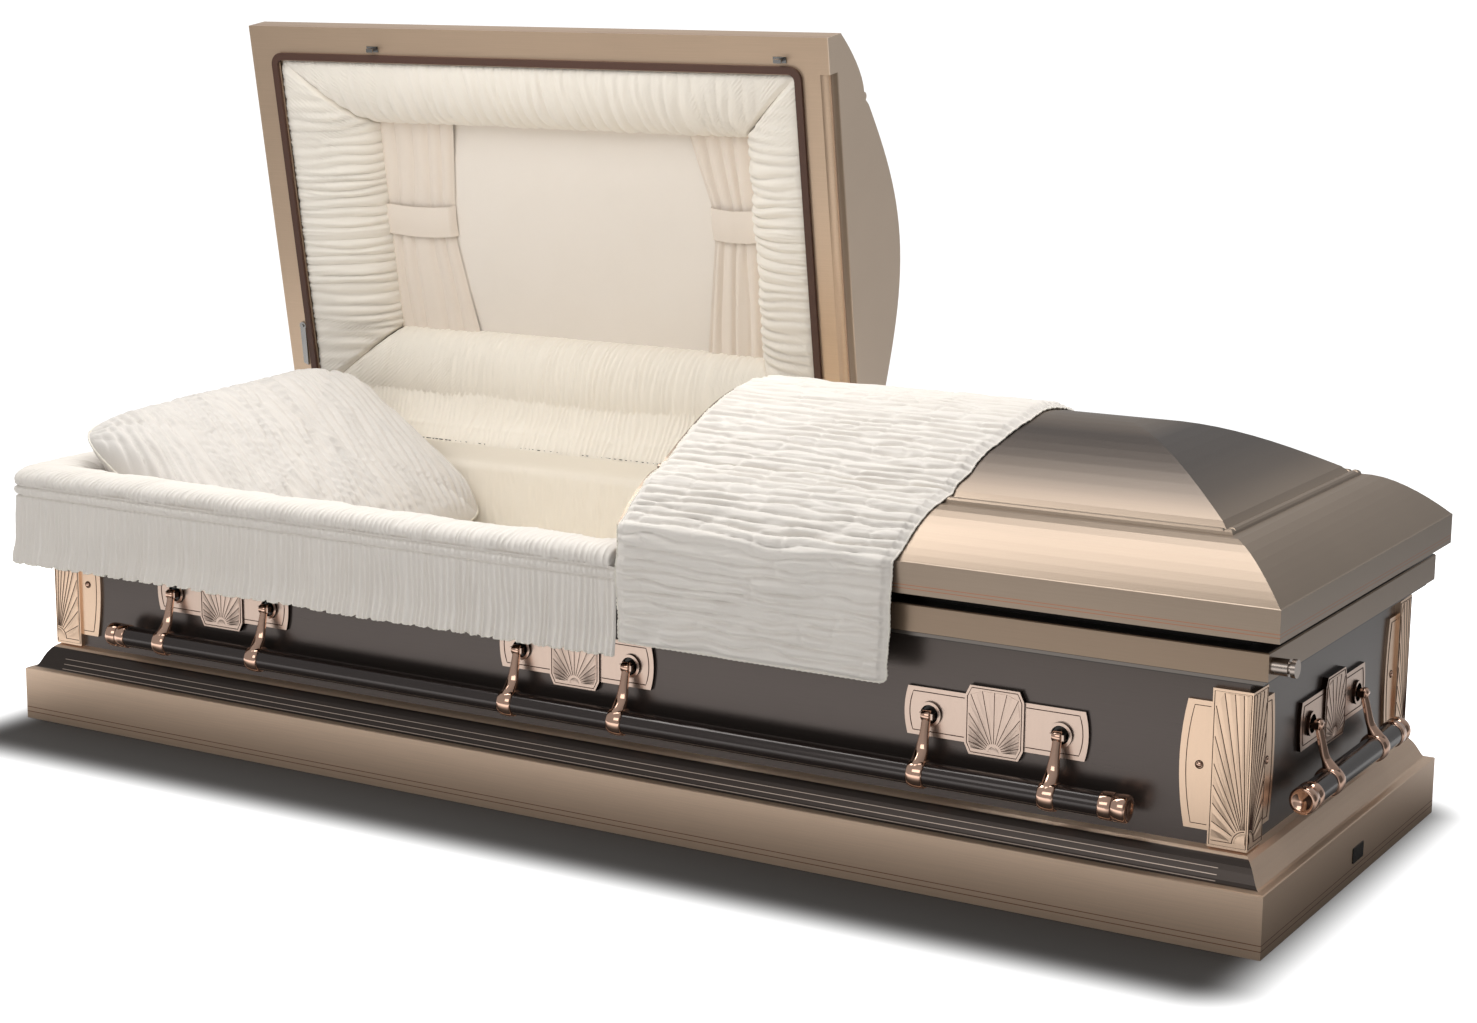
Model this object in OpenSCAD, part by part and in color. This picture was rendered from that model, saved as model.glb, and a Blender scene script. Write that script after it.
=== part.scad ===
// Half-couch funeral casket: sheet-steel body on a stepped base moulding, two domed lids
// hinged at the back, swing-bar handles and a cloth interior.
// +X runs from the head end to the foot end, -Y is the front, +Z is up.
// The origin is the centre of the underside.

/* [Body] */
// Length of the body shell
body_l = 2040; // [1700:10:2450]
// Width of the body shell
body_w = 640; // [540:10:780]
// Height of the body shell's top lip
body_h = 404; // [340:2:490]
// Thickness of the sheet steel
sheet = 1.2; // [0.8:0.1:2]
// Width of the shell's turned-in top lip
lip_w = 16; // [12:1:24]

/* [Mouldings] */
// How far the base moulding stands out from the body
base_over = 45; // [35:1:60]
// Height of the base moulding's upright face
base_face_h = 85; // [60:1:110]
// Height of the base moulding's ogee above its face
base_ogee_h = 40; // [30:1:50]
// How far the top moulding stands out at the ends
top_over_x = 33; // [25:1:42]
// How far the top moulding stands out at the sides
top_over_y = 30; // [24:1:40]
// Height of the top moulding's face
top_face_h = 38; // [28:1:50]
// Height of the thin band under the top moulding
top_band_h = 8; // [5:1:12]
// How far the thin band stands back from the moulding's face
top_band_in = 9; // [5:1:14]

/* [Lids] */
// How far the lid rim stands out from the body at the ends
rim_over_x = 50; // [42:1:60]
// How far the lid rim stands out from the body at the sides
rim_over_y = 43; // [36:1:52]
// Gap between the top moulding and the lid rim
rim_gap = 16; // [14:1:24]
// Height of the lid rim's upright face
rim_h = 43; // [30:1:60]
// Height of the ogee above the rim
cove_h = 64; // [40:1:80]
// Width of the ogee above the rim
cove_w = 105; // [80:1:125]
// Rise of the dome above the ogee
dome_h = 92; // [60:1:120]
// Where the two lids meet, from the middle of the casket
split_x = 95.5; // [-200:0.5:200]
// Gap between the two lids
split_gap = 3; // [2:0.5:6]
// Angle at which the head lid stands open
head_open = 80.8; // [0:0.1:80.8]
// How far the hinge axis lies in from the rim's face
hinge_in = 11; // [10:0.5:14]
// Height of the hinge axis above the rim's lower edge
hinge_up = 2; // [1:0.5:3]
// Length of each hinge
hinge_l = 700; // [400:10:800]

/* [Hardware] */
// Distance between the handle plates along a side
plate_pitch = 671; // [560:1:700]
// Length of a handle plate
plate_l = 269; // [230:1:300]
// Height of a handle plate's wings
plate_h = 67; // [50:1:75]
// Width of a handle plate's centre panel
panel_w = 86; // [70:1:100]
// Height of a handle plate's centre panel
panel_h = 95; // [80:1:110]
// Height of the plates' centre line above the floor
plate_z = 242; // [220:1:262]
// Distance of each arm from the middle of its plate
arm_out = 95.5; // [80:0.5:105]
// Distance from an arm's pivot to the middle of the bar
arm_drop = 77.6; // [65:0.1:90]
// Angle at which the bar rests, out from the vertical
arm_lean = 14.6; // [8:0.1:20]
// Diameter of a swing bar
bar_d = 34; // [24:1:36]
// Half length of the side bars, tips included
side_bar_half = 878; // [830:1:910]
// Half length of the end bars, tips included
end_bar_half = 205; // [150:1:240]
// Length of a bar tip
tip_l = 38; // [25:1:50]
// Width of a corner post on each face
post_w = 54; // [40:1:70]
// Height of a corner post
post_h = 209; // [150:1:215]
// Width of a corner post's wing
wing_w = 43; // [30:1:60]
// Height of a corner post's wing
wing_h = 170; // [120:1:175]

/* [Interior] */
// Thickness of the quilted wall lining
lining_t = 16; // [10:1:25]
// Height of the bed above the floor
bed_z = 228; // [150:2:260]
// Width of the lid's roll at the head end
roll_head_w = 148; // [110:1:170]
// Width of the lid's roll at the split
roll_split_w = 126; // [100:1:150]
// Width of the lid's rolls along the sides
roll_side_w = 113; // [90:1:130]
// Depth of the lid's recessed panel above the rim's lower edge
panel_depth = 80; // [60:1:84]
// Length of the throw along the foot lid's rim
throw_l = 440; // [300:10:600]
// Height of the throw's hem above the floor
throw_hem_z = 287; // [262:1:340]
// Height of the apron's hem above the floor
apron_hem_z = 262; // [262:1:320]
// How far the apron's face stands out from the body's side
apron_out = 52; // [45:1:60]
// Length of the pillow across the casket
pillow_l = 585; // [480:5:600]
// Width of the pillow up its slope
pillow_w = 440; // [360:5:460]
// Thickness of the pillow
pillow_t = 105; // [70:5:130]

/* [Hidden] */
$fn = 48;
bx = body_l / 2;
by = body_w / 2;
top_z = body_h - 10;                 // top of the top moulding
rim_z = top_z + rim_gap;             // lower edge of the lids' rims
rim_x = bx + rim_over_x;
rim_y = by + rim_over_y;
cove_z = rim_z + rim_h;
bead_z = cove_z + cove_h;
hinge_y = rim_y - hinge_in;
hinge_z = rim_z + hinge_up;
head_x1 = split_x - split_gap / 2;   // split end of the head lid
foot_x0 = split_x + split_gap / 2;   // split end of the foot lid
flange_w = 60;                       // width of the lids' underside flange
gasket_in = 46;                      // rim face to gasket
gasket_w = 12;
fit = 0.3;                           // clearance between pieces that don't touch
base_top = base_face_h + base_ogee_h;
lining_x = bx - sheet;               // the lining's outer faces
lining_y = by - sheet;
flute_x = 50;                        // gasket to split end on the head lid
barrel_r = 4.5;
pin_r = 2;
pivot_out = 16;                      // body side to the arms' pivots
eye_r = 7.5;
eye_w = 13;
plate_t = 5;
panel_t = 8;
bar_r = bar_d / 2;
collar_t = 2.6;
collar_w = 26;
lock_r = 12;
hem_out = 58;                        // body side to the throw's face

CHAMPAGNE = "#b7a088";
GRAPHITE = "#5a534e";
COPPER = "#dba88c";
CREAM = "#efe9da";

// --- curves and profiles; a profile is a list of [inset, height] points ---

// A cubic curve from a to d, steered by b and c, in n steps
function curve(a, b, c, d, n) = [for (i = [0:n]) let (s = i / n, r = 1 - s)
    r * r * r * a + 3 * r * r * s * b + 3 * r * s * s * c + s * s * s * d];

// The profile moved w into the metal (or out of it, for a negative w), its last point straight down
function sunk(p, w) = [for (i = [0:len(p) - 1]) [p[i][0] + (i < len(p) - 1 ? w : 0), p[i][1] - w]];

function base_profile() = concat([[0, 0], [0, base_face_h - 1], [2, base_face_h]],
    curve([10, base_face_h + 1], [19, base_face_h + 1],
        [base_over * 0.45, base_top - 7], [base_over, base_top], 8));

function lid_upper(hy) = concat([[2, cove_z + 1]],
    curve([3, cove_z + 2], [20, cove_z + 19], [70, bead_z], [cove_w, bead_z], 9),
    [for (a = [30:30:150]) [cove_w + 7 - 7 * cos(a), bead_z + 7 * sin(a)]],
    [for (i = [0:12]) let (u = 0.07 + 0.93 * i / 12, t0 = cove_w + 5)
        [t0 + (hy - t0) * u, bead_z + 3 + (dome_h - 3) * sin(90 * u)]]);

function lid_profile(hy) = concat([[0, rim_z], [0, cove_z]], lid_upper(hy));

// A profile as a closed outline of half width h
function outline(h, p) = concat([for (q = p) [q[0] - h, q[1]]],
    [for (i = [len(p) - 1:-1:0]) [h - p[i][0], p[i][1]]]);

// A profile rising from x0 and cut off square at x1
function cut_outline(x0, x1, p) = concat([for (q = p) [x0 + q[0], q[1]]],
    [[x1, p[len(p) - 1][1]], [x1, p[0][1]]]);

// --- building blocks ---

module box(x0, x1, y0, y1, z0, z1) {
    translate([x0, y0, z0]) cube([x1 - x0, y1 - y0, z1 - z0]);
}

module along_x(x0, x1) {
    translate([x0, 0, 0]) rotate([90, 0, 90]) linear_extrude(x1 - x0) children();
}

module along_y(y0, y1) {
    translate([0, y1, 0]) rotate([90, 0, 0]) linear_extrude(y1 - y0) children();
}

// A solid whose every level is a rectangle: mitred at all four corners
module mitred(hx, hy, p) {
    intersection() {
        along_x(-hx - 1, hx + 1) polygon(outline(hy, p));
        along_y(-hy - 1, hy + 1) polygon(outline(hx, p));
    }
}

// The same with the profile on three sides, cut off square at x1
module capped(x0, x1, hy, p) {
    intersection() {
        along_x(x0 - 1, x1) polygon(outline(hy, p));
        along_y(-hy - 1, hy + 1) polygon(cut_outline(x0, x1, p));
    }
}

module rounded(x0, x1, y0, y1, r) {
    translate([x0 + r, y0]) square([x1 - x0 - 2 * r, y1 - y0]);
    translate([x0, y0 + r]) square([x1 - x0, y1 - y0 - 2 * r]);
    for (x = [x0 + r, x1 - r], y = [y0 + r, y1 - r]) translate([x, y]) circle(r);
}

// Puts a lid's closed shape where it stands open
module swung() {
    translate([0, hinge_y, hinge_z]) rotate([-head_open, 0, 0])
        translate([0, -hinge_y, -hinge_z]) children();
}

// Carries a shape made at the front, at y = 0 on the body's side, to one of the four sides
module on_side(side) {
    if (side == "front") translate([0, -by, 0]) children();
    if (side == "back") translate([0, by, 0]) rotate([0, 0, 180]) children();
    if (side == "foot_end") translate([bx, 0, 0]) rotate([0, 0, 90]) children();
    if (side == "head_end") translate([-bx, 0, 0]) rotate([0, 0, -90]) children();
}

// --- body ---

module base_moulding() {
    ox = bx + base_over;
    oy = by + base_over;
    p = base_profile();
    inner = concat([[sheet, sheet]], [for (i = [1:len(p) - 2]) [p[i][0] + sheet, p[i][1] - sheet]],
        [[base_over - 0.01, base_top - sheet - 1]]);
    color(CHAMPAGNE) difference() {
        mitred(ox, oy, p);
        mitred(ox, oy, inner);
        box(-bx, bx, -by, by, -1, base_top + 1);
    }
}

module body_shell() {
    color(GRAPHITE) difference() {
        box(-bx, bx, -by, by, 0, body_h);
        box(sheet - bx, bx - sheet, sheet - by, by - sheet, sheet, body_h - sheet);
        box(lip_w - bx, bx - lip_w, lip_w - by, by - lip_w, body_h - 2 * sheet, body_h + 1);
    }
}

module top_moulding() {
    ox = bx + top_over_x;
    oy = by + top_over_y;
    z0 = top_z - top_face_h;
    color(CHAMPAGNE) difference() {
        mitred(ox, oy, [[top_band_in, z0 - top_band_h], [top_band_in, z0], [0, z0], [0, top_z - 2],
            [2, top_z]]);
        mitred(ox, oy, [[sheet, z0 + sheet], [sheet, top_z - 2 - sheet], [2, top_z - sheet]]);
        mitred(ox, oy, [[top_band_in + sheet, z0 - top_band_h - 1], [top_band_in + sheet, z0 + 2]]);
        box(-bx, bx, -by, by, z0 - top_band_h - 1, top_z + 1);
    }
}

module plaque() {
    color("#2b2622") translate([bx + base_over, 13, 37]) rotate([90, 0, 90])
        linear_extrude(1.5) rounded(-22, 22, -11, 11, 2);
}

module lock_plug() {
    color(COPPER) translate([bx + top_over_x, 15 - by - top_over_y, top_z - 19]) rotate([0, 90, 0]) {
        cylinder(r = lock_r - 1, h = 22);
        translate([0, 0, 22]) cylinder(r = lock_r - 4, h = 4);
        translate([0, 0, 26]) cylinder(r = lock_r, h = 6);
    }
}

// A wing's outline: straight against the post, bulging at its outer edge
function wing_points() = concat([[0, -wing_h / 2]],
    [for (i = [-5:5]) [-wing_w + 9 * (i / 5) * (i / 5), i / 10 * wing_h]], [[0, wing_h / 2]]);

// The wing lies flat on a side, to the left of x = 0
module wing() {
    along_y(-4, 0) translate([0, post_h / 2]) polygon(wing_points());
}

module post(sx, sy) {
    color(COPPER) scale([sx, sy, 1]) translate([bx, by, base_top + 0.2]) {
        box(panel_t - post_w, panel_t, 0, panel_t, 0, post_h);
        box(0, panel_t, panel_t - post_w, 0, 0, post_h);
        translate([panel_t - post_w, 0, 0]) mirror([0, 1, 0]) wing();
        translate([0, panel_t - post_w, 0]) rotate([0, 0, 90]) wing();
    }
}

// --- handle plates, arms and bars, made at the front with y = 0 on the body's side ---

function plate_wing(s) = [for (i = [-5:5]) [s * (plate_l / 2 - 5 * (i / 5) * (i / 5)),
    s * i / 10 * plate_h]];

function panel_points(w, h) = [[-w + 7, -h], [w - 7, -h], [w, -h + 14], [w, h - 14], [w - 7, h], [-w + 7, h],
    [-w, h - 14], [-w, -h + 14]];

module plate() {
    pivot_z = arm_pivot_z - plate_z;
    color(COPPER) translate([0, 0, plate_z]) {
        along_y(-plate_t, 0) polygon(concat(plate_wing(1), plate_wing(-1)));
        along_y(-panel_t, 0) polygon(panel_points(panel_w / 2, panel_h / 2));
        for (x = [-arm_out, arm_out]) translate([x, 0, pivot_z]) {
            rotate([90, 0, 0]) difference() {
                cylinder(r = 17, h = plate_t + 4);
                translate([0, 0, plate_t]) cylinder(r = 13, h = 5);
            }
            for (s = [-1, 1]) translate([s * (eye_w / 2 + 2.2), 0, 0]) {
                box(-1.7, 1.7, -pivot_out - 4, -plate_t + 1, -4, 4);
            }
            translate([-eye_w / 2 - 2, -pivot_out, 0]) rotate([0, 90, 0]) cylinder(r = pin_r, h = eye_w + 4);
        }
    }
}

arm_pivot_z = plate_z - 2;

// Turns a shape from hanging plumb about the pivot to where it rests
module leaning() {
    translate([0, -pivot_out, arm_pivot_z]) rotate([-arm_lean, 0, 0]) children();
}

// Half widths down the arm, from the eye to the collar
function arm_half(s) = eye_w / 2 - 1 + (collar_w / 2 - eye_w / 2 + 1) * (3 * s * s - 2 * s * s * s);

module arm(x) {
    steps = 8;
    len_arm = arm_drop - bar_r;
    side = [for (i = [0:steps]) [arm_half(i / steps), -4 - (len_arm - 4) * i / steps]];
    color(COPPER) leaning() translate([x, 0, 0]) difference() {
        union() {
            translate([-eye_w / 2, 0, 0]) rotate([0, 90, 0]) cylinder(r = eye_r, h = eye_w);
            along_y(-4, 4) polygon(concat(side, [for (i = [steps:-1:0]) [-side[i][0], side[i][1]]]));
            translate([-collar_w / 2, 0, -arm_drop]) rotate([0, 90, 0])
                cylinder(r = bar_r + collar_t, h = collar_w);
        }
        translate([-collar_w, 0, -arm_drop]) rotate([0, 90, 0]) cylinder(r = bar_r + 0.02, h = 2 * collar_w);
        translate([-eye_w, 0, 0]) rotate([0, 90, 0]) cylinder(r = pin_r + 0.08, h = 2 * eye_w);
    }
}

module bar(half) {
    color("#3a2a24") leaning() translate([-half, 0, -arm_drop]) rotate([0, 90, 0]) {
        translate([0, 0, tip_l]) cylinder(r = bar_r, h = 2 * (half - tip_l));
        for (z = [0, 2 * half - tip_l]) translate([0, 0, z]) cylinder(r = bar_r + 2, h = tip_l);
    }
}

module side_arm(side, i) {
    on_side(side) arm((floor(i / 2) - 1) * plate_pitch + (i % 2 == 0 ? -1 : 1) * arm_out);
}

module end_arm(side, i) {
    on_side(side) arm((i % 2 == 0 ? -1 : 1) * arm_out);
}

module side_plate(side, i) {
    on_side(side) translate([i * plate_pitch, 0, 0]) plate();
}

// --- hinges: odd barrels and the pin on the body, even barrels on the lid ---

barrels = 5;

function barrel_x(mid, i) = mid - hinge_l / 2 + hinge_l / barrels * i;

module hinge(mid) {
    web_y = hinge_y - barrel_r;
    color("#8d8178") {
        for (i = [0, 2, 4]) {
            x0 = barrel_x(mid, i) + 0.5;
            x1 = barrel_x(mid, i + 1) - 0.5;
            translate([x0, hinge_y, hinge_z]) rotate([0, 90, 0]) cylinder(r = barrel_r, h = x1 - x0);
            box(x0, x1, web_y - 2, web_y + 1, top_z, hinge_z);
            box(x0, x1, hinge_y - 26, web_y, top_z, top_z + 2);
        }
        translate([barrel_x(mid, 0) + 0.5, hinge_y, hinge_z]) rotate([0, 90, 0])
            cylinder(r = pin_r, h = hinge_l - 1);
    }
}

// The lid's half of the hinge, added to the lid
module lid_leaf(mid) {
    for (i = [1, 3]) difference() {
        x0 = barrel_x(mid, i) + 0.5;
        x1 = barrel_x(mid, i + 1) - 0.5;
        union() {
            translate([x0, hinge_y, hinge_z]) rotate([0, 90, 0]) cylinder(r = barrel_r, h = x1 - x0);
            box(x0, x1, hinge_y - 30, hinge_y - 3, rim_z + sheet, rim_z + sheet + 2);
        }
        translate([x0 - 1, hinge_y, hinge_z]) rotate([0, 90, 0])
            cylinder(r = pin_r + 0.08, h = x1 - x0 + 2);
    }
}

// --- lids, made closed ---

// Hollow lid over x0 to x1, its profile rising from x0, with its underside flange
module lid_shell(x0, x1) {
    p = lid_profile(rim_y);
    in = sunk(lid_upper(rim_y), sheet);
    cavity = concat([[sheet, rim_z + sheet], [sheet, cove_z]], in);
    difference() {
        capped(x0, x1, rim_y, p);
        intersection() {
            capped(x0, x1, rim_y, cavity);
            box(x0, x1 - sheet, -rim_y, rim_y, rim_z, bead_z + dome_h);
        }
        box(x0 + flange_w, x1 - flange_w - 2, flange_w - rim_y, rim_y - flange_w, rim_z - 1, rim_z + 3);
    }
}

// Cut in the flange that lets the hinge's barrels through
module hinge_notch(mid) {
    box(mid - hinge_l / 2 - 2, mid + hinge_l / 2 + 2, hinge_y - barrel_r - 3.5, rim_y - sheet, rim_z - 1,
        rim_z + sheet + 0.01);
}

// Two hollow flutes along the split edge of the head lid
module flutes() {
    end = rim_y - 58;
    translate([head_x1 - 9, end, rim_z - 8.1]) rotate([90, 0, 0]) cylinder(r = 12.1, h = 2 * end);
    translate([head_x1 + 14.4, end, rim_z + 13]) rotate([90, 0, 0]) cylinder(r = 19.4, h = 2 * end);
}

head_mid = (head_x1 - rim_x) / 2;
foot_mid = (foot_x0 + rim_x) / 2;

module head_lid() {
    color(CHAMPAGNE) swung() {
        difference() {
            union() {
                lid_shell(-rim_x, head_x1);
                box(head_x1 - 24, head_x1 - 0.5, 2 - rim_y, rim_y - 20, rim_z, rim_z + 9);
                box(head_x1 - 8, head_x1 - 0.5, 2 - rim_y, rim_y - 2, rim_z, rim_z + 32);
            }
            flutes();
            hinge_notch(head_mid);
        }
        lid_leaf(head_mid);
    }
}

module foot_lid() {
    color(CHAMPAGNE) {
        difference() {
            mirror([1, 0, 0]) lid_shell(-rim_x, -foot_x0);
            hinge_notch(foot_mid);
        }
        lid_leaf(foot_mid);
    }
}

module gasket(x0, x1, split_end_in) {
    y1 = rim_y - gasket_in;
    color("#4a2f26") translate([0, 0, body_h + fit]) linear_extrude(rim_z - body_h - fit) difference() {
        rounded(x0, x1, -y1, y1, 22);
        rounded(x0 + gasket_w, x1 - gasket_w, gasket_w - y1, y1 - gasket_w, 12);
    }
}

module head_gasket() {
    swung() gasket(gasket_in - rim_x, head_x1 - flute_x);
}

module foot_gasket() {
    gasket(foot_x0 + flute_x, rim_x - gasket_in);
}

// --- lid lining ---

cap_x0 = flange_w - rim_x + 1;
cap_x1 = head_x1 - flange_w - 3;
cap_y = rim_y - flange_w - 1;
panel_x0 = cap_x0 + roll_head_w;
panel_x1 = cap_x1 - roll_split_w;
panel_y = cap_y - roll_side_w;
panel_z = rim_z + panel_depth;

module cap_panel() {
    color(CREAM) swung() box(cap_x0, cap_x1, -cap_y, cap_y, panel_z, panel_z + 4);
}

// A roll's section: full at the flange, rounding in to the panel over width w
function roll_points(w) = concat([[0, panel_z]],
    [for (a = [0:10:90]) [w * sin(a), panel_z - (panel_depth - 4) * cos(a)]]);

module cap_roll_front() {
    color(CREAM) swung() intersection() {
        along_x(cap_x0, cap_x1) translate([-cap_y, 0]) polygon(roll_points(roll_side_w));
        translate([0, 0, rim_z]) linear_extrude(panel_depth + 1)
            polygon([[cap_x0, -cap_y], [cap_x1, -cap_y], [panel_x1, -panel_y], [panel_x0, -panel_y]]);
    }
}

module cap_roll_hinge() {
    color(CREAM) swung() intersection() {
        along_x(cap_x0, cap_x1) translate([cap_y, 0]) mirror([1, 0]) polygon(roll_points(roll_side_w));
        translate([0, 0, rim_z]) linear_extrude(panel_depth + 1)
            polygon([[cap_x0, cap_y], [panel_x0, panel_y], [panel_x1, panel_y], [cap_x1, cap_y]]);
    }
}

module cap_roll_head() {
    color(CREAM) swung() intersection() {
        along_y(-cap_y, cap_y) translate([cap_x0, 0]) polygon(roll_points(roll_head_w));
        translate([0, 0, rim_z]) linear_extrude(panel_depth + 1)
            polygon([[cap_x0, -cap_y], [panel_x0, -panel_y], [panel_x0, panel_y], [cap_x0, cap_y]]);
    }
}

module cap_roll_split() {
    color(CREAM) swung() intersection() {
        along_y(-cap_y, cap_y) translate([cap_x1, 0]) mirror([1, 0]) polygon(roll_points(roll_split_w));
        translate([0, 0, rim_z]) linear_extrude(panel_depth + 1)
            polygon([[cap_x1, -cap_y], [cap_x1, cap_y], [panel_x1, panel_y], [panel_x1, -panel_y]]);
    }
}

module foot_cap_lining() {
    x0 = foot_x0 + flange_w + 3;
    x1 = rim_x - flange_w - 1;
    color(CREAM) difference() {
        box(x0, x1, -cap_y, cap_y, rim_z + 2, panel_z + 4);
        box(x0 + 50, x1 - 50, 50 - cap_y, cap_y - 50, rim_z + 1, panel_z);
    }
}

// --- lid hardware ---

module latch(x) {
    color("silver") swung() translate([x, 36 - rim_y, rim_z]) {
        box(-12, 12, -5, 5, -2, 0);
        box(-3, 3, -3, 3, -13, -2);
        box(-3, 10, -3, 3, -15.5, -13);
    }
}

module lid_stay() {
    color("silver") swung() translate([36 - rim_x, rim_y - 182, rim_z - 3]) {
        cylinder(r = 7, h = 3);
        linear_extrude(2) polygon([[-6, 0], [6, 0], [2, 74], [-8, 70]]);
        translate([0, 0, -2]) cylinder(r = 3, h = 2);
    }
}

// --- soft goods in the body ---

module body_lining() {
    color(CREAM) difference() {
        box(-lining_x, lining_x, -lining_y, lining_y, sheet, body_h - sheet);
        box(lining_t - lining_x, lining_x - lining_t, lining_t - lining_y, lining_y - lining_t, 0, body_h);
    }
}

module mattress() {
    mx = lining_x - lining_t;
    my = lining_y - lining_t;
    color(CREAM) box(fit - mx, mx - fit, fit - my, my - fit, sheet, bed_z);
}

// A crowned cushion leaning on the head end, its head edge higher and skewed towards the foot at the back
module pillow() {
    hl = pillow_l / 2;
    hw = pillow_w / 2 - 22;
    color(CREAM) translate([hw * 0.83 + 36 - lining_x + lining_t, 0, bed_z + 151.6]) {
        hull() {
            for (i = [-1, 1], j = [-1, 1]) pillow_at(i * hw, j * (hl - 20)) sphere(r = 20, $fn = 16);
            for (i = [-0.45, 0.45], j = [-0.6, 0.6]) pillow_at(i * hw, j * hl)
                sphere(r = pillow_t / 2 - 4, $fn = 20);
            sphere(r = pillow_t / 2, $fn = 24);
        }
    }
}

// A place on the pillow, u down its slope and v along it
module pillow_at(u, v) {
    translate([u * cos(34) + v * 0.13, v, -u * sin(34) + v * 0.077]) children();
}

apron_x = bx + apron_out + 8;
apron_y = by + apron_out;

// The hanging part of the apron, outside the front and the head end
module apron_skirt() {
    color(CREAM) difference() {
        box(-apron_x, split_x - 4, -apron_y, rim_y - 20, apron_hem_z, top_z);
        box(-bx - top_over_x - fit, apron_x + 2, -by - top_over_y - fit, rim_y, 0, top_z + 1);
    }
}

// The part of the apron that rolls over the rim and down inside the lining
module apron_roll() {
    reach = max(lining_t + sheet, lip_w) + fit;
    inner = apron_out + reach;
    top = rim_z + 7;
    drop = body_h - 70;
    color(CREAM) difference() {
        mitred(apron_x, apron_y, [[0, drop], [0, top - 9], [3, top - 3], [9, top], [inner + 4, top + 1]]);
        mitred(apron_x - 8, apron_y, [[inner + 10, drop - 1], [inner + 10, body_h - 4], [inner + 4, top + 1],
            [inner + 4, top + 2]]);
        difference() {
            box(-apron_x - 1, apron_x + 1, -apron_y - 1, apron_y + 1, drop - 1, top_z + fit);
            box(reach - bx, bx - reach, reach - by, by - reach, 0, body_h);
        }
        difference() {
            box(-bx - fit, bx + fit, -by - fit, by + fit, drop - 1, body_h + fit);
            box(reach - bx, bx - reach, reach - by, by - reach, 0, body_h + 1);
        }
        box(split_x - 4, apron_x + 1, -apron_y - 1, apron_y + 1, drop - 1, top + 2);
        box(-apron_x - 1, apron_x + 1, by - reach - fit, apron_y + 1, drop - 1, top + 2);
    }
}

// --- the throw over the foot lid ---

module throw() {
    x0 = foot_x0 + 4;
    x1 = x0 + throw_l;
    p = lid_profile(rim_y);
    out = concat([[rim_y - by - hem_out, throw_hem_z], [rim_y - by - hem_out, cove_z - 3]],
        sunk(lid_upper(rim_y), -9));
    under = concat([[-0.6, throw_hem_z - 1], [-0.6, cove_z]], sunk(lid_upper(rim_y), -0.6));
    color(CREAM) intersection() {
        along_x(x0, x1 + 60) difference() {
            polygon(outline(rim_y, out));
            polygon(outline(rim_y, under));
        }
        linear_extrude(800) polygon([[x0, -by - hem_out - 1], [x1 - 10, -by - hem_out - 1], [x1, -rim_y],
            [x1 + 45, -60], [x1 + 45, rim_y - 62], [x0, rim_y - 62]]);
    }
}

base_moulding();
body_shell();
top_moulding();
plaque();
lock_plug();
post(-1, -1);  // post_front_head
post(1, -1);  // post_front_foot
post(-1, 1);  // post_back_head
post(1, 1);  // post_back_foot
side_plate("front", -1);  // plate_front_head
side_plate("front", 0);  // plate_front_middle
side_plate("front", 1);  // plate_front_foot
side_plate("back", 1);  // plate_back_head
side_plate("back", 0);  // plate_back_middle
side_plate("back", -1);  // plate_back_foot
on_side("head_end") plate();  // plate_head_end
on_side("foot_end") plate();  // plate_foot_end
hinge(head_mid);  // hinge_head
hinge(foot_mid);  // hinge_foot
mattress();
pillow();
body_lining();
apron_skirt();
apron_roll();
head_lid();
head_gasket();
cap_panel();
cap_roll_front();
cap_roll_hinge();
cap_roll_head();
cap_roll_split();
latch(271 - rim_x);  // latch_head
latch(head_x1 - 88);  // latch_split
lid_stay();
foot_lid();
foot_gasket();
foot_cap_lining();
throw();
on_side("front") bar(side_bar_half);  // bar_front
on_side("back") bar(side_bar_half);  // bar_back
on_side("head_end") bar(end_bar_half);  // bar_head_end
on_side("foot_end") bar(end_bar_half);  // bar_foot_end
side_arm("front", 0);  // arm_front_1
side_arm("front", 1);  // arm_front_2
side_arm("front", 2);  // arm_front_3
side_arm("front", 3);  // arm_front_4
side_arm("front", 4);  // arm_front_5
side_arm("front", 5);  // arm_front_6
side_arm("back", 0);  // arm_back_1
side_arm("back", 1);  // arm_back_2
side_arm("back", 2);  // arm_back_3
side_arm("back", 3);  // arm_back_4
side_arm("back", 4);  // arm_back_5
side_arm("back", 5);  // arm_back_6
end_arm("head_end", 0);  // arm_head_end_1
end_arm("head_end", 1);  // arm_head_end_2
end_arm("foot_end", 0);  // arm_foot_end_1
end_arm("foot_end", 1);  // arm_foot_end_2
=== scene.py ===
"""The looks of a half-couch funeral casket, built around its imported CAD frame.

Shapes are worked out in millimetres, in the frame's axes, and become metres in make_mesh().
"""

import itertools
import math

import bpy
import numpy as np
from mathutils import Matrix, Vector


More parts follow.
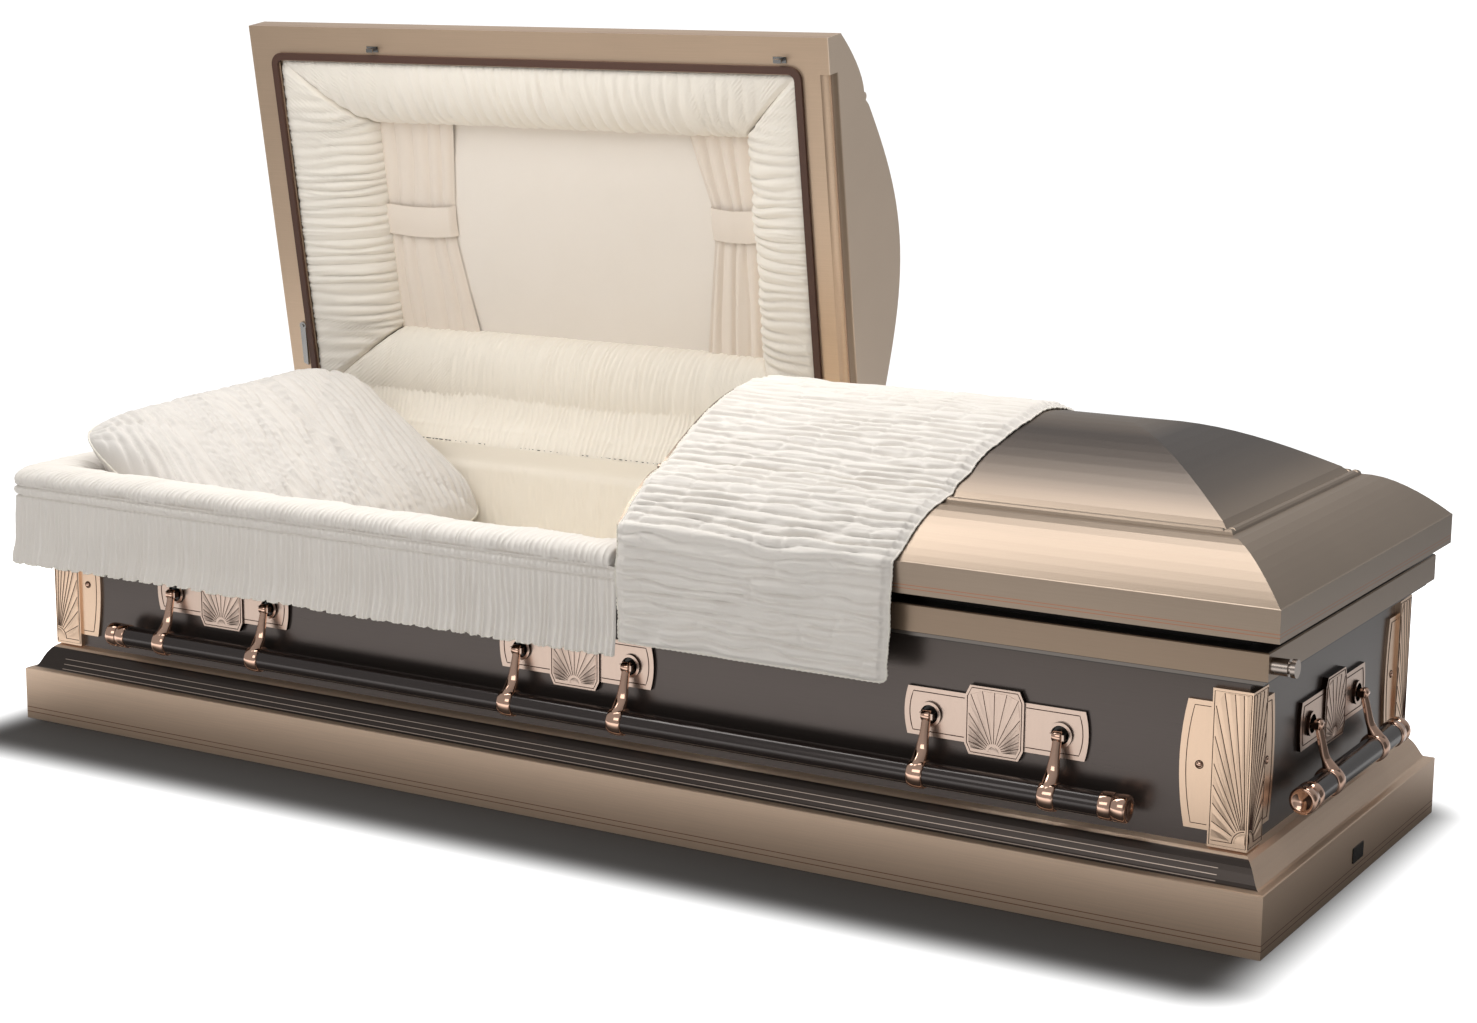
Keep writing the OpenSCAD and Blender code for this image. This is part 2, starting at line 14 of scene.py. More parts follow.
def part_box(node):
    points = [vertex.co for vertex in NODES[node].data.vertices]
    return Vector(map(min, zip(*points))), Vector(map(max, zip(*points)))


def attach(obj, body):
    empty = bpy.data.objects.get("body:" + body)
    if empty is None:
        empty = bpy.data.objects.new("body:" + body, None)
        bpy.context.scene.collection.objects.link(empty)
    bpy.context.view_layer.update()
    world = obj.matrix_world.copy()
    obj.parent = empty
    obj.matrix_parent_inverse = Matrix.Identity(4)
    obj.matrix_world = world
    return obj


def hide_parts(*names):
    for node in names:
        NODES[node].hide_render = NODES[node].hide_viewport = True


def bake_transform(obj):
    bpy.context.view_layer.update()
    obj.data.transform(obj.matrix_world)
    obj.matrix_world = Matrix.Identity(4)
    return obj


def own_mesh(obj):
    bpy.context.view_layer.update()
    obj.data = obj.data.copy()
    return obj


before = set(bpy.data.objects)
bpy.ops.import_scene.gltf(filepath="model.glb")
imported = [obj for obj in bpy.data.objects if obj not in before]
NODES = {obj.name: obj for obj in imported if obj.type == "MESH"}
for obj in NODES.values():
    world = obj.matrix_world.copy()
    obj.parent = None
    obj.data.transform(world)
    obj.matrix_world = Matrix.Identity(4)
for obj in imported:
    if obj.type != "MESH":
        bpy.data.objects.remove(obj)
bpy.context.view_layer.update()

MM = 0.001
RIM_X, RIM_Y, RIM_Z = 1070, 363, 410
COVE_Z, BEAD_Z, COVE_W, DOME_H = 453, 517, 105, 92
HINGE_Y, HINGE_Z, HEAD_OPEN = 352, 412, 80.8
HEAD_X1, FOOT_X0 = 94, 97
PANEL_Z, ROLL_DEPTH = 490, 76
BED_Z = 228
PLATE_Z, ARM_PIVOT_Z, PIVOT_OUT = 242, 240, 16
ARM_LEAN, ARM_DROP, ARM_OUT = 14.6, 77.6, 95.5
BAR_R, TIP_L = 17, 38
SHADOW_CENTRE, SHADOW_HALF = (0, -0.065, 0), (1.015, 0.4, 0)


# --- camera, light and stage ---


def set_camera():
    azimuth, elevation, roll = (math.radians(a) for a in (30.6889, 11.2102, 0.4566))
    back = Vector((math.sin(azimuth) * math.cos(elevation), -math.cos(azimuth) * math.cos(elevation),
                   math.sin(elevation)))
    right = Vector((math.cos(azimuth), math.sin(azimuth), 0))
    up = back.cross(right)
    x = right * math.cos(roll) + up * math.sin(roll)
    y = up * math.cos(roll) - right * math.sin(roll)
    data = bpy.data.cameras.new("camera")
    data.lens, data.sensor_width = 65.96, 36
    data.clip_end = 200
    camera = bpy.data.objects.new("camera", data)
    bpy.context.scene.collection.objects.link(camera)
    camera.matrix_world = Matrix((
        (x.x, y.x, back.x, 2.1455), (x.y, y.y, back.y, -3.4798), (x.z, y.z, back.z, 1.2114), (0, 0, 0, 1)))
    bpy.context.scene.camera = camera


def area_light(name, place, target, size, power, colour=(1, 1, 1)):
    data = bpy.data.lights.new(name, "AREA")
    data.shape = "RECTANGLE"
    data.size, data.size_y = size
    data.energy, data.color = power, colour
    lamp = bpy.data.objects.new(name, data)
    bpy.context.scene.collection.objects.link(lamp)
    lamp.location = place
    lamp.rotation_euler = (Vector(target) - Vector(place)).to_track_quat("-Z", "Y").to_euler()


def set_world():
    """White to the camera, a softer grey to everything else, darker past the foot end."""
    world = bpy.data.worlds.new("studio")
    bpy.context.scene.world = world
    world.use_nodes = True
    tree = world.node_tree
    background = tree.nodes["Background"]
    background.inputs["Color"].default_value = (1, 1, 1, 1)
    seen = node(tree, "LightPath").outputs["Is Camera Ray"]
    toward_x = split(tree, node(tree, "TexCoord").outputs["Generated"])[0]
    lit = maths(tree, "MULTIPLY_ADD", smooth_step(tree, toward_x, 0.1, 0.95), -0.14, 0.35)
    strength = maths(tree, "MAXIMUM", maths(tree, "MULTIPLY", seen, 1.1), lit)
    tree.links.new(strength, background.inputs["Strength"])


def set_lights():
    area_light("key_light", (-0.2, 0.25, 3.3), (-0.1, 0, 0.1), (4.6, 1.9), 97, (1, 0.99, 0.975))
    area_light("front_light", (0.2, -4.4, 2.5), (-0.2, 0, 0.4), (4.4, 1.6), 33, (1, 0.985, 0.96))
    area_light("inner_light", (-0.5, -0.34, 1.45), (-0.45, 0.42, 0.62), (1.0, 0.5), 3.8, (1, 0.985, 0.955))


def stage_plane(name, material, **plane):
    bpy.ops.mesh.primitive_plane_add(**plane)
    made = bpy.context.object
    made.name = name
    made.data.materials.append(material)
    return made


def floor_material():
    """A white floor with the contact shadow painted round the base, narrow to the camera and broader in
    reflections.
    Past the foot end it is painted darker, a painted shade in the foot end's reflections. It glows white to
    the camera and dimmer to other rays, so its glow also lights the casket from below.
    """
    made, tree, shader = new_material("stage_floor", (0.92, 0.92, 0.92), 0.9)
    shader.inputs["Emission Color"].default_value = (1, 1, 1, 1)
    place = position(tree)
    middle = vector_maths(tree, "SUBTRACT", place, SHADOW_CENTRE).outputs[0]
    aside = vector_maths(tree, "ABSOLUTE", middle).outputs[0]
    outside = vector_maths(tree, "SUBTRACT", aside, SHADOW_HALF).outputs[0]
    outside = vector_maths(tree, "MAXIMUM", outside, (0, 0, 0)).outputs[0]
    clear_of = vector_maths(tree, "LENGTH", outside).outputs["Value"]
    lit, bounced = smooth_step(tree, clear_of, 0.0, 0.13), smooth_step(tree, clear_of, -0.02, 0.5)
    # past the foot end: painted darker and glowing less, a painted shade for reflections
    beyond = smooth_step(tree, split(tree, place)[0], 0.9, 1.2)
    pale = mixed(tree, beyond, (0.92, 0.92, 0.92), (0.4, 0.4, 0.4))
    tree.links.new(mixed(tree, bounced, (0.05, 0.047, 0.045), pale), shader.inputs["Base Color"])
    seen = node(tree, "LightPath").outputs["Is Camera Ray"]
    strength = maths(tree, "MULTIPLY_ADD", beyond, -0.2, 0.46)
    unseen = maths(tree, "MULTIPLY", maths(tree, "POWER", bounced, 1.6), strength)
    glow = maths(tree, "MULTIPLY", maths(tree, "POWER", lit, 1.6), maths(tree, "MULTIPLY", seen, 1.18))
    tree.links.new(maths(tree, "MAXIMUM", glow, unseen), shader.inputs["Emission Strength"])
    away = smooth_step(tree, vector_maths(tree, "LENGTH", place).outputs["Value"], 1.5, 3.4)
    clear = node(tree, "BsdfTransparent").outputs[0]
    faded = node(tree, "MixShader", {0: away, 1: shader.outputs[0], 2: clear}).outputs[0]
    tree.links.new(faded, tree.nodes["Material Output"].inputs["Surface"])
    return made


def set_stage():
    set_world()
    set_lights()
    # a dark card past the foot end, seen only in reflections
    card = stage_plane("stage_card", new_material("stage_card", (0.12, 0.12, 0.12), 0.9)[0], size=1,
                       location=(2.9, 0.4, 0.72), rotation=(0, math.radians(90), 0))
    card.scale = (1.3, 4.2, 1)
    card.visible_camera = False
    stage_plane("stage_floor", floor_material(), size=120, location=(0, 0, -0.0005))
    bpy.context.scene.view_settings.view_transform = "Standard"


# --- material nodes ---


def node(tree, kind, inputs=None, **settings):
    made = tree.nodes.new("ShaderNode" + kind)
    for key, value in settings.items():
        setattr(made, key, value)
    for key, value in (inputs or {}).items():
        if isinstance(value, bpy.types.NodeSocket):
            tree.links.new(value, made.inputs[key])
        else:
            made.inputs[key].default_value = value
    return made


def maths(tree, operation, *values):
    return node(tree, "Math", dict(enumerate(values)), operation=operation).outputs[0]


def smooth_step(tree, value, low, high):
    return node(tree, "MapRange", {"Value": value, "From Min": low, "From Max": high},
                interpolation_type="SMOOTHSTEP").outputs[0]


def band(tree, value, low, high, soft=0.0003):
    """1 where value is from low to high, 0 elsewhere."""
    rise = smooth_step(tree, value, low - soft, low + soft)
    fall = smooth_step(tree, value, high + soft, high - soft)
    return maths(tree, "MULTIPLY", rise, fall)


def mixed(tree, share, a, b):
    """Colour a where share is 0, b where it is 1; a and b are colours or sockets."""
    made = node(tree, "Mix", data_type="RGBA")
    for socket, value in ((made.inputs[0], share), (made.inputs[6], a), (made.inputs[7], b)):
        if isinstance(value, bpy.types.NodeSocket):
            tree.links.new(value, socket)
        else:
            socket.default_value = value if isinstance(value, float) else (*value, 1)
    return made.outputs[2]


def new_material(name, colour, roughness, metallic=0.0, **sockets):
    made = bpy.data.materials.new(name)
    made.use_nodes = True
    tree = made.node_tree
    shader = tree.nodes["Principled BSDF"]
    shader.inputs["Base Color"].default_value = (*colour, 1)
    shader.inputs["Roughness"].default_value = roughness
    shader.inputs["Metallic"].default_value = metallic
    for key, value in sockets.items():
        shader.inputs[key.replace("_", " ")].default_value = value
    return made, tree, shader


def vector_maths(tree, operation, *values):
    return node(tree, "VectorMath", dict(enumerate(values)), operation=operation)


def position(tree, closed=False):
    """Where a point of the piece is at rest, or where it is with the head lid closed."""
    place = node(tree, "TexCoord").outputs["Object"]
    if not closed:
        return place
    hinge = (0, HINGE_Y * MM, HINGE_Z * MM)
    moved = vector_maths(tree, "SUBTRACT", place, hinge).outputs[0]
    turned = node(tree, "VectorRotate", {"Vector": moved, "Angle": math.radians(HEAD_OPEN)},
                  rotation_type="X_AXIS").outputs[0]
    return vector_maths(tree, "ADD", turned, hinge).outputs[0]


def split(tree, vector):
    return node(tree, "SeparateXYZ", {0: vector}).outputs


def grain(tree, vector, scale, detail=3):
    """Noise from 0 to 1, stretched by scale, a size for each axis."""
    placed = node(tree, "Mapping", {"Vector": vector, "Scale": scale}).outputs[0]
    return node(tree, "TexNoise", {"Vector": placed, "Scale": 1.0, "Detail": detail}).outputs["Fac"]


def bump(tree, shader, height, distance, strength):
    made = node(tree, "Bump", {"Height": height, "Distance": distance, "Strength": strength})
    tree.links.new(made.outputs[0], shader.inputs["Normal"])


def tone_colour(tree, shader, colour, tone):
    """Base colour is the colour, a tuple or a socket, times the tone."""
    scaled = node(tree, "VectorMath", {0: colour, 3: tone}, operation="SCALE").outputs[0]
    tree.links.new(scaled, shader.inputs["Base Color"])


# One champagne paint in four tones, each set for the light its part gets: the head lid's and the base's
# copies are painted lighter, the foot lid's darker than the head lid's. Painted light and shade.
CHAMPAGNE = (0.30, 0.217, 0.152)
CHAMPAGNE_HEAD_LID_LIT = (0.60, 0.44, 0.312)
CHAMPAGNE_FOOT_LID_SHADED = (0.352, 0.272, 0.206)
CHAMPAGNE_BASE_LIT = (0.86, 0.64, 0.475)
DARK = (0.085, 0.068, 0.058)
COPPER_LINE = (0.42, 0.19, 0.11)
PALE_LINE = (0.62, 0.5, 0.42)
OGEE_DARK_REFLECTION = (0.062, 0.047, 0.04)
# the near-black lip paints the gap under the lids' rim: a painted shadow
BAND, BAND_EDGE, GAP_SHADOW_BLACK = (0.20, 0.175, 0.155), (0.05, 0.043, 0.04), (0.012, 0.01, 0.009)
LID_PINSTRIPES = ((0.4170, 0.4182), (0.4216, 0.4228))
LACQUER = {"Coat_Weight": 0.22, "Coat_Roughness": 0.2}
METAL_SHARE, BRUSH_SCALE, BRUSH_DEPTH = 0.72, (9, 900, 900), 0.00005
SATIN_GRAIN = (90, 90, 12)


def brushed_metal(name, colour, dark_at=(), closed=False, stripes=(), cut_end=None, lit_end_colour=None,
                  marks=(), roughness=0.34):
    """Lacquered brushed steel: brush lines along X, cloudy tone, a dark tone painted by height, and
    pinstripes.
    dark_at lists (height, share of the dark tone): the lids' two-tone shaded paint with a painted highlight
    at the top, the shell's painted shade under the rim; stripes lists (low, high) heights of copper lines;
    marks lists (low, high, colour) of other painted bands, a painted gap shadow among them; cut_end is the X
    range of a lid's cut end, which the end colour paints lighter: a painted light."""
    made, tree, shader = new_material(name, colour, roughness, METAL_SHARE, **LACQUER)
    place = position(tree, closed)
    x, y, z = split(tree, place)
    lines = grain(tree, place, BRUSH_SCALE)
    cloud = grain(tree, place, (2.2, 5, 5), 2)
    tone = maths(tree, "MULTIPLY_ADD", lines, 0.16, 0.92)
    tone = maths(tree, "MULTIPLY_ADD", cloud, 0.14, maths(tree, "SUBTRACT", tone, 0.07))
    paint = colour
    if dark_at:
        ramp = node(tree, "ValToRGB")
        low, high = dark_at[0][0], dark_at[-1][0]
        share = node(tree, "MapRange", {"Value": z, "From Min": low, "From Max": high}).outputs[0]
        tree.links.new(share, ramp.inputs[0])
        points = ramp.color_ramp.elements
        while len(points) < len(dark_at):
            points.new(0.5)
        for point, (height, dark) in zip(points, dark_at):
            point.position = (height - low) / (high - low)
        for point, (height, dark) in zip(points, dark_at):
            point.color = (dark, dark, dark, 1)
        shaded = ramp.outputs[0]
        if cut_end:
            shaded = maths(tree, "MULTIPLY", shaded, smooth_step(tree, x, *cut_end))
        paint = mixed(tree, shaded, colour, DARK)
    for low, high, mark in [(*stripe, COPPER_LINE) for stripe in stripes] + list(marks):
        paint = mixed(tree, band(tree, z, low, high), paint, mark)
    if lit_end_colour:
        paint = mixed(tree, smooth_step(tree, x, *cut_end), lit_end_colour, paint)
    tone_colour(tree, shader, paint, tone)
    rough = maths(tree, "MULTIPLY_ADD", lines, 0.12, roughness - 0.06)
    tree.links.new(rough, shader.inputs["Roughness"])
    bump(tree, shader, lines, BRUSH_DEPTH, 0.35)
    return made


def base_metal():
    """The base moulding: champagne face and upper lip; along the sides the ogee is painted dark, a painted
    dark reflection, and carries pale pinstripes.
    """
    made, tree, shader = new_material("champagne_base", CHAMPAGNE_BASE_LIT, 0.36, METAL_SHARE, **LACQUER)
    place = position(tree)
    x, y, z = split(tree, place)
    lines = grain(tree, place, BRUSH_SCALE)
    along, across = maths(tree, "ABSOLUTE", x), maths(tree, "ABSOLUTE", y)
    # the sides only, up to the mitre line at each corner
    past_side, past_end = maths(tree, "SUBTRACT", across, 0.32), maths(tree, "SUBTRACT", along, 1.02)
    side = smooth_step(tree, maths(tree, "SUBTRACT", past_side, past_end), -0.0004, 0.0004)
    # the sides' ogee painted dark: a painted dark reflection
    ogee = maths(tree, "MULTIPLY", band(tree, z, 0.0862, 0.1182, 0.0006), side)
    paint = mixed(tree, ogee, CHAMPAGNE_BASE_LIT, OGEE_DARK_REFLECTION)
    stop = maths(tree, "MULTIPLY", side, smooth_step(tree, along, 0.997, 0.995))
    for low, high in ((0.0885, 0.0893), (0.0955, 0.0964), (0.1035, 0.1043)):
        line = maths(tree, "MULTIPLY", band(tree, z, low, high, 0.0002), stop)
        paint = mixed(tree, line, paint, PALE_LINE)
    for low, high in ((0.0108, 0.0120), (0.0185, 0.0197)):
        paint = mixed(tree, band(tree, z, low, high, 0.0002), paint, COPPER_LINE)
    tone_colour(tree, shader, paint, maths(tree, "MULTIPLY_ADD", lines, 0.18, 0.9))
    bump(tree, shader, lines, BRUSH_DEPTH, 0.35)
    return made


def plain_metal(name, colour, roughness, grain_scale=(40, 400, 40), spread=0.1, metallic=1.0, **sockets):
    made, tree, shader = new_material(name, colour, roughness, metallic, **sockets)
    lines = grain(tree, position(tree), grain_scale)
    tone_colour(tree, shader, colour, maths(tree, "MULTIPLY_ADD", lines, 0.2, 0.9))
    rough = maths(tree, "MULTIPLY_ADD", lines, spread, roughness - spread / 2)
    tree.links.new(rough, shader.inputs["Roughness"])
    bump(tree, shader, lines, 0.00004, 0.3)
    return made


def faced_metal(name, colour, axis):
    """Satin plate metal whose side walls, turned away from the axis, are painted near-black: a painted shade
    and dark reflection.
    """
    made = plain_metal(name, colour, 0.3, SATIN_GRAIN)
    tree = made.node_tree
    base = tree.nodes["Principled BSDF"].inputs["Base Color"]
    face = maths(tree, "ABSOLUTE", split(tree, node(tree, "TexCoord").outputs["Normal"])[axis])
    before = base.links[0].from_socket
    # side walls near-black: painted shade and dark reflection
    tree.links.new(mixed(tree, smooth_step(tree, face, 0.25, 0.6), (0.03, 0.017, 0.012), before), base)
    return made


def crepe(name, colour, shade):
    """Woven crepe: warp and weft threads under fine crinkles."""
    made, tree, shader = new_material(name, colour, 0.82, Sheen_Weight=0.25, Sheen_Roughness=0.5)
    place = position(tree)
    crinkle = grain(tree, place, (700, 700, 700))
    x, y, z = split(tree, place)
    threads = [maths(tree, "SINE", maths(tree, "MULTIPLY", maths(tree, operation, a, z), 4200.0))
               for operation, a in (("ADD", x), ("SUBTRACT", y))]
    weave = maths(tree, "MULTIPLY", maths(tree, "ADD", *threads), 0.12)
    cloud = maths(tree, "MULTIPLY", grain(tree, place, (14, 14, 14), 2), 0.35)
    paint = mixed(tree, maths(tree, "MULTIPLY_ADD", crinkle, 0.5, cloud), colour, shade)
    tree.links.new(paint, shader.inputs["Base Color"])
    bump(tree, shader, maths(tree, "ADD", crinkle, weave), 0.0005, 0.5)
    return made


# --- meshes ---


LATTICE = np.random.RandomState(11).rand(256, 256) * 2 - 1


def noise(x, y, seed=0):
    """Smooth noise from -1 to 1, one bump per unit."""
    x, y = np.broadcast_arrays(np.asarray(x, float) + seed * 17.37, np.asarray(y, float) + seed * 9.73)
    i, j = np.floor(x).astype(int), np.floor(y).astype(int)
    u, v = x - i, y - j
    u, v = u * u * (3 - 2 * u), v * v * (3 - 2 * v)

    def at(a, b):
        return LATTICE[(i + a) % 256, (j + b) % 256]

    return (at(0, 0) * (1 - u) + at(1, 0) * u) * (1 - v) + (at(0, 1) * (1 - u) + at(1, 1) * u) * v


def step(x, low, high):
    t = np.clip((x - low) / (high - low), 0, 1)
    return t * t * (3 - 2 * t)


def pleats(across, along, pitch, run, seed, wander=0.55, sharp=0.7, even=0.45):
    """Height from 0 to 1 of gathered cloth: ridges a pitch apart that wander and break over about a run."""
    phase = across / pitch + wander * noise(across / (2.6 * pitch), along / run, seed)
    phase = phase + 0.3 * noise(across / (0.9 * pitch), along / (0.45 * run), seed + 3)
    ridge = np.abs(np.sin(np.pi * phase)) ** sharp
    fade = even + (1 - even) * (0.5 + 0.5 * noise(across / (1.4 * pitch), along / (0.5 * run), seed + 7))
    return ridge * fade


def normals(points):
    n = np.cross(np.gradient(points, axis=0), np.gradient(points, axis=1))
    return n / np.maximum(np.linalg.norm(n, axis=2, keepdims=True), 1e-9)


def raised(points, height, sign=1):
    return points + sign * normals(points) * height[..., None]


def spaced(line, count):
    """count points evenly along a polyline."""
    line = np.asarray(line, float)
    at = np.concatenate([[0], np.cumsum(np.linalg.norm(np.diff(line, axis=0), axis=1))])
    s = np.linspace(0, at[-1], count)
    return np.stack([np.interp(s, at, line[:, k]) for k in range(line.shape[1])], 1), s


def softened(line, radius, spacing):
    """A polyline smoothed over about radius, its ends kept."""
    reach = max(int(radius / spacing), 1)
    weights = np.hanning(2 * reach + 3)[1:-1]
    weights /= weights.sum()
    before = 2 * line[0] - line[reach:0:-1]
    after = 2 * line[-1] - line[-2:-reach - 2:-1]
    whole = np.concatenate([before, line, after])
    return np.stack([np.convolve(whole[:, k], weights, "valid") for k in range(line.shape[1])], 1)


def opened(points):
    """Closed head-lid coordinates turned to where the lid stands open."""
    t = math.radians(-HEAD_OPEN)
    y, z = points[..., 1] - HINGE_Y, points[..., 2] - HINGE_Z
    return np.stack([points[..., 0], HINGE_Y + y * math.cos(t) - z * math.sin(t),
                     HINGE_Z + y * math.sin(t) + z * math.cos(t)], -1)


def grid_faces(rows, columns, close_rows=False, close_columns=False, first=0):
    index = np.arange(rows * columns).reshape(rows, columns) + first
    if close_rows:
        index = np.concatenate([index, index[:1]], 0)
    if close_columns:
        index = np.concatenate([index, index[:, :1]], 1)
    return np.stack([index[:-1, :-1], index[1:, :-1], index[1:, 1:], index[:-1, 1:]], -1).reshape(-1, 4)


def make_mesh(name, points, faces, material, body=None, slot=None, replaces=(), smooth=True):
    """A piece from millimetre points and faces. Without a body it is left free."""
    mesh = bpy.data.meshes.new(name)
    mesh.from_pydata((np.asarray(points, float).reshape(-1, 3) * MM).tolist(), [],
                     [tuple(int(i) for i in f) for f in faces])
    mesh.validate()
    mesh.update()
    if smooth:
        mesh.shade_smooth()
    mesh.materials.append(material)
    made = bpy.data.objects.new(name, mesh)
    bpy.context.scene.collection.objects.link(made)
    if body:
        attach(made, body)
    if replaces:
        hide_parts(*replaces)
    return made


def cloth(name, points, material, body, slot="ivory_crepe", replaces=(), flip=False, **closed):
    faces = grid_faces(*points.shape[:2], **closed)
    if flip:
        faces = faces[:, ::-1]
    return make_mesh(name, points, faces, material, body, slot, replaces)


def tube(line, radius, sides=6, closed=False):
    """(points, faces) of a tube along a line; radius is one number or one for each point."""
    line = np.asarray(line, float)
    if closed:
        ahead, behind = np.roll(line, -1, 0), np.roll(line, 1, 0)
        tangent = ahead - behind
    else:
        tangent = np.gradient(line, axis=0)
    tangent /= np.maximum(np.linalg.norm(tangent, axis=1, keepdims=True), 1e-9)
    guide = np.array([0.31, 0.52, 0.79])
    side = np.cross(tangent, guide)
    side /= np.linalg.norm(side, axis=1, keepdims=True)
    other = np.cross(tangent, side)
    turn = np.arange(sides) * 2 * np.pi / sides
    radius = np.broadcast_to(np.asarray(radius, float), (len(line),))
    points = line[:, None] + radius[:, None, None] * (
        side[:, None] * np.cos(turn)[None, :, None] + other[:, None] * np.sin(turn)[None, :, None])
    return points.reshape(-1, 3), grid_faces(len(line), sides, close_rows=closed, close_columns=True)


def joined(parts):
    """(points, faces) of several such pairs as one; faces may have any number of corners."""
    points, faces, first = [], [], 0
    for p, f in parts:
        points.append(np.asarray(p, float).reshape(-1, 3))
        faces += [tuple(int(i) + first for i in face) for face in f]
        first += len(points[-1])
    return np.concatenate(points), faces


def lathe(profile, sides=40):
    """(points, faces) of a profile of (x, radius) turned about the X axis."""
    profile = np.asarray(profile, float)
    turn = np.arange(sides) * 2 * np.pi / sides
    x, radius = np.repeat(profile[:, :1], sides, 1), profile[:, 1:]
    points = np.stack([x, radius * np.cos(turn), radius * np.sin(turn)], -1)
    return points.reshape(-1, 3), grid_faces(len(profile), sides, close_columns=True)


def coat(material, *names):
    for name in names:
        slots = NODES[name].material_slots
        if not slots:
            NODES[name].data.materials.append(material)
        for s in slots:
            s.material = material


# --- the lid's profile, as (inset from the rim's face, height) ---


def curve(a, b, c, d, count):
    s = np.linspace(0, 1, count + 1)[:, None]
    r = 1 - s
    a, b, c, d = (np.array(p, float) for p in (a, b, c, d))
    return r ** 3 * a + 3 * r * r * s * b + 3 * r * s * s * c + s ** 3 * d


def lid_profile():
    bead = [(COVE_W + 7 - 7 * math.cos(math.radians(a)), BEAD_Z + 7 * math.sin(math.radians(a)))
            for a in range(30, 151, 30)]
    dome = [(COVE_W + 5 + (RIM_Y - COVE_W - 5) * u, BEAD_Z + 3 + (DOME_H - 3) * math.sin(math.pi / 2 * u))
            for u in np.linspace(0.07, 1, 13)]
    cove = curve((3, COVE_Z + 2), (20, COVE_Z + 19), (70, BEAD_Z), (COVE_W, BEAD_Z), 9)
    return np.concatenate([cove, bead, dome])


# --- soft goods ---


def draped_over(line):
    """The upper hull of a line of (y, z): cloth that bridges the hollows it lies over."""
    kept = []
    for point in line:
        while len(kept) > 1 and ((kept[-1][0] - kept[-2][0]) * (point[1] - kept[-2][1])
                                 - (kept[-1][1] - kept[-2][1]) * (point[0] - kept[-2][0])) >= 0:
            kept.pop()
        kept.append(point)
    return 0.45 * np.array([(y, np.interp(y, *zip(*kept))) for y, z in line]) + 0.55 * line


def build_throw(material, thread):
    (x0, front, hem), back = tuple(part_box("throw")[0] / MM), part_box("throw")[1].y / MM
    profile = lid_profile()
    up = np.stack([profile[:, 0] - RIM_Y, profile[:, 1]], 1)
    down = np.stack([RIM_Y - profile[::-1, 0], profile[::-1, 1]], 1)[1:]
    over, _ = spaced(np.concatenate([up, down]), 700)
    tangent = np.gradient(over, axis=0)
    tangent /= np.linalg.norm(tangent, axis=1, keepdims=True)
    over = over + np.stack([-tangent[:, 1], tangent[:, 0]], 1) * 3.2
    over = over[(over[:, 1] > COVE_Z + 6) & (over[:, 0] < back)]
    over = draped_over(over)
    hanging = [(front + 7, hem), (front + 7.5, hem + 90), (front + 7, COVE_Z - 2), (front + 9, COVE_Z + 5)]
    line, s = spaced(np.concatenate([np.array(hanging), over]), 460)
    line = softened(line, 17, s[1])
    line, s = spaced(line, 460)
    u = np.linspace(0, 1, 150)
    y = line[:, 0]
    end = np.interp(y, [front, -RIM_Y, -60, back], [531, 541, 586, 586])
    end = end - 14 * (1 - np.sqrt(np.clip(1 - ((14 - s) / 14).clip(0) ** 2, 0, 1)))
    end = end + 2.5 * noise(s / 26, 0.0, 3)
    start = x0 + 3 + 2.2 * noise(s / 17, 0.0, 5)
    x = start[None, :] + (end - start)[None, :] * u[:, None]
    points = np.stack([x, np.broadcast_to(line[:, 0], x.shape), np.broadcast_to(line[:, 1], x.shape)], -1)
    across = np.broadcast_to(s, x.shape)
    height = pleats(across, x, 15.6, 110, 1, wander=0.34, sharp=0.6, even=0.6)
    pinch = np.exp(-(noise(x / 44, across / 30, 6) / 0.13) ** 2)
    height = 8.2 * height * (1 - 0.34 * pinch) + 2.2 * pleats(across, x, 6.4, 46, 2, even=0.1)
    left, right = x - start, end - x
    edge = np.minimum(left, right)
    height = height * (1 - 0.7 * np.exp(-((edge - 8) / 2.0) ** 2)) * (0.22 + 0.78 * step(edge, 1, 9))
    height = height * (0.3 + 0.7 * step(across, 0, 9))
    height = height - 2.1 * (1 - step(edge, 0, 9)) * step(across, 120, 150)
    hang = 1 - step(across, 120, 175)
    height = height + hang * (2.5 * noise(x / 85, across / 90, 8) + 1.5)
    points = raised(points, height, 1)
    throw = cloth("throw_cloth", points, material, "foot_lid", replaces=("throw",))
    border = np.concatenate([points[0, ::-1], points[1:, 0], points[-1, 1:], points[-2:0:-1, -1]])
    beads = 1.25 + 0.45 * np.sin(np.arange(len(border)) * 2.1)
    hem_piece = make_mesh("throw_overlock", *tube(border, beads, 6, True), thread, "foot_lid", "ivory_crepe")


def plan_line(x_start, y_front, x_head, y_end, radius, counts):
    """Down the front, round the head corner and along the head end, in plan."""
    turn = np.linspace(0, math.pi / 2, counts[1] + 2)[1:-1]
    return np.concatenate([
        np.stack([np.linspace(x_start, x_head + radius, counts[0]), np.full(counts[0], y_front)], 1),
        np.stack([x_head + radius - radius * np.sin(turn), y_front + radius - radius * np.cos(turn)], 1),
        np.stack([np.full(counts[2], x_head), np.linspace(y_front + radius, y_end, counts[2])], 1)])


def run_of(line):
    return np.concatenate([[0], np.cumsum(np.linalg.norm(np.diff(line, axis=0), axis=1))])


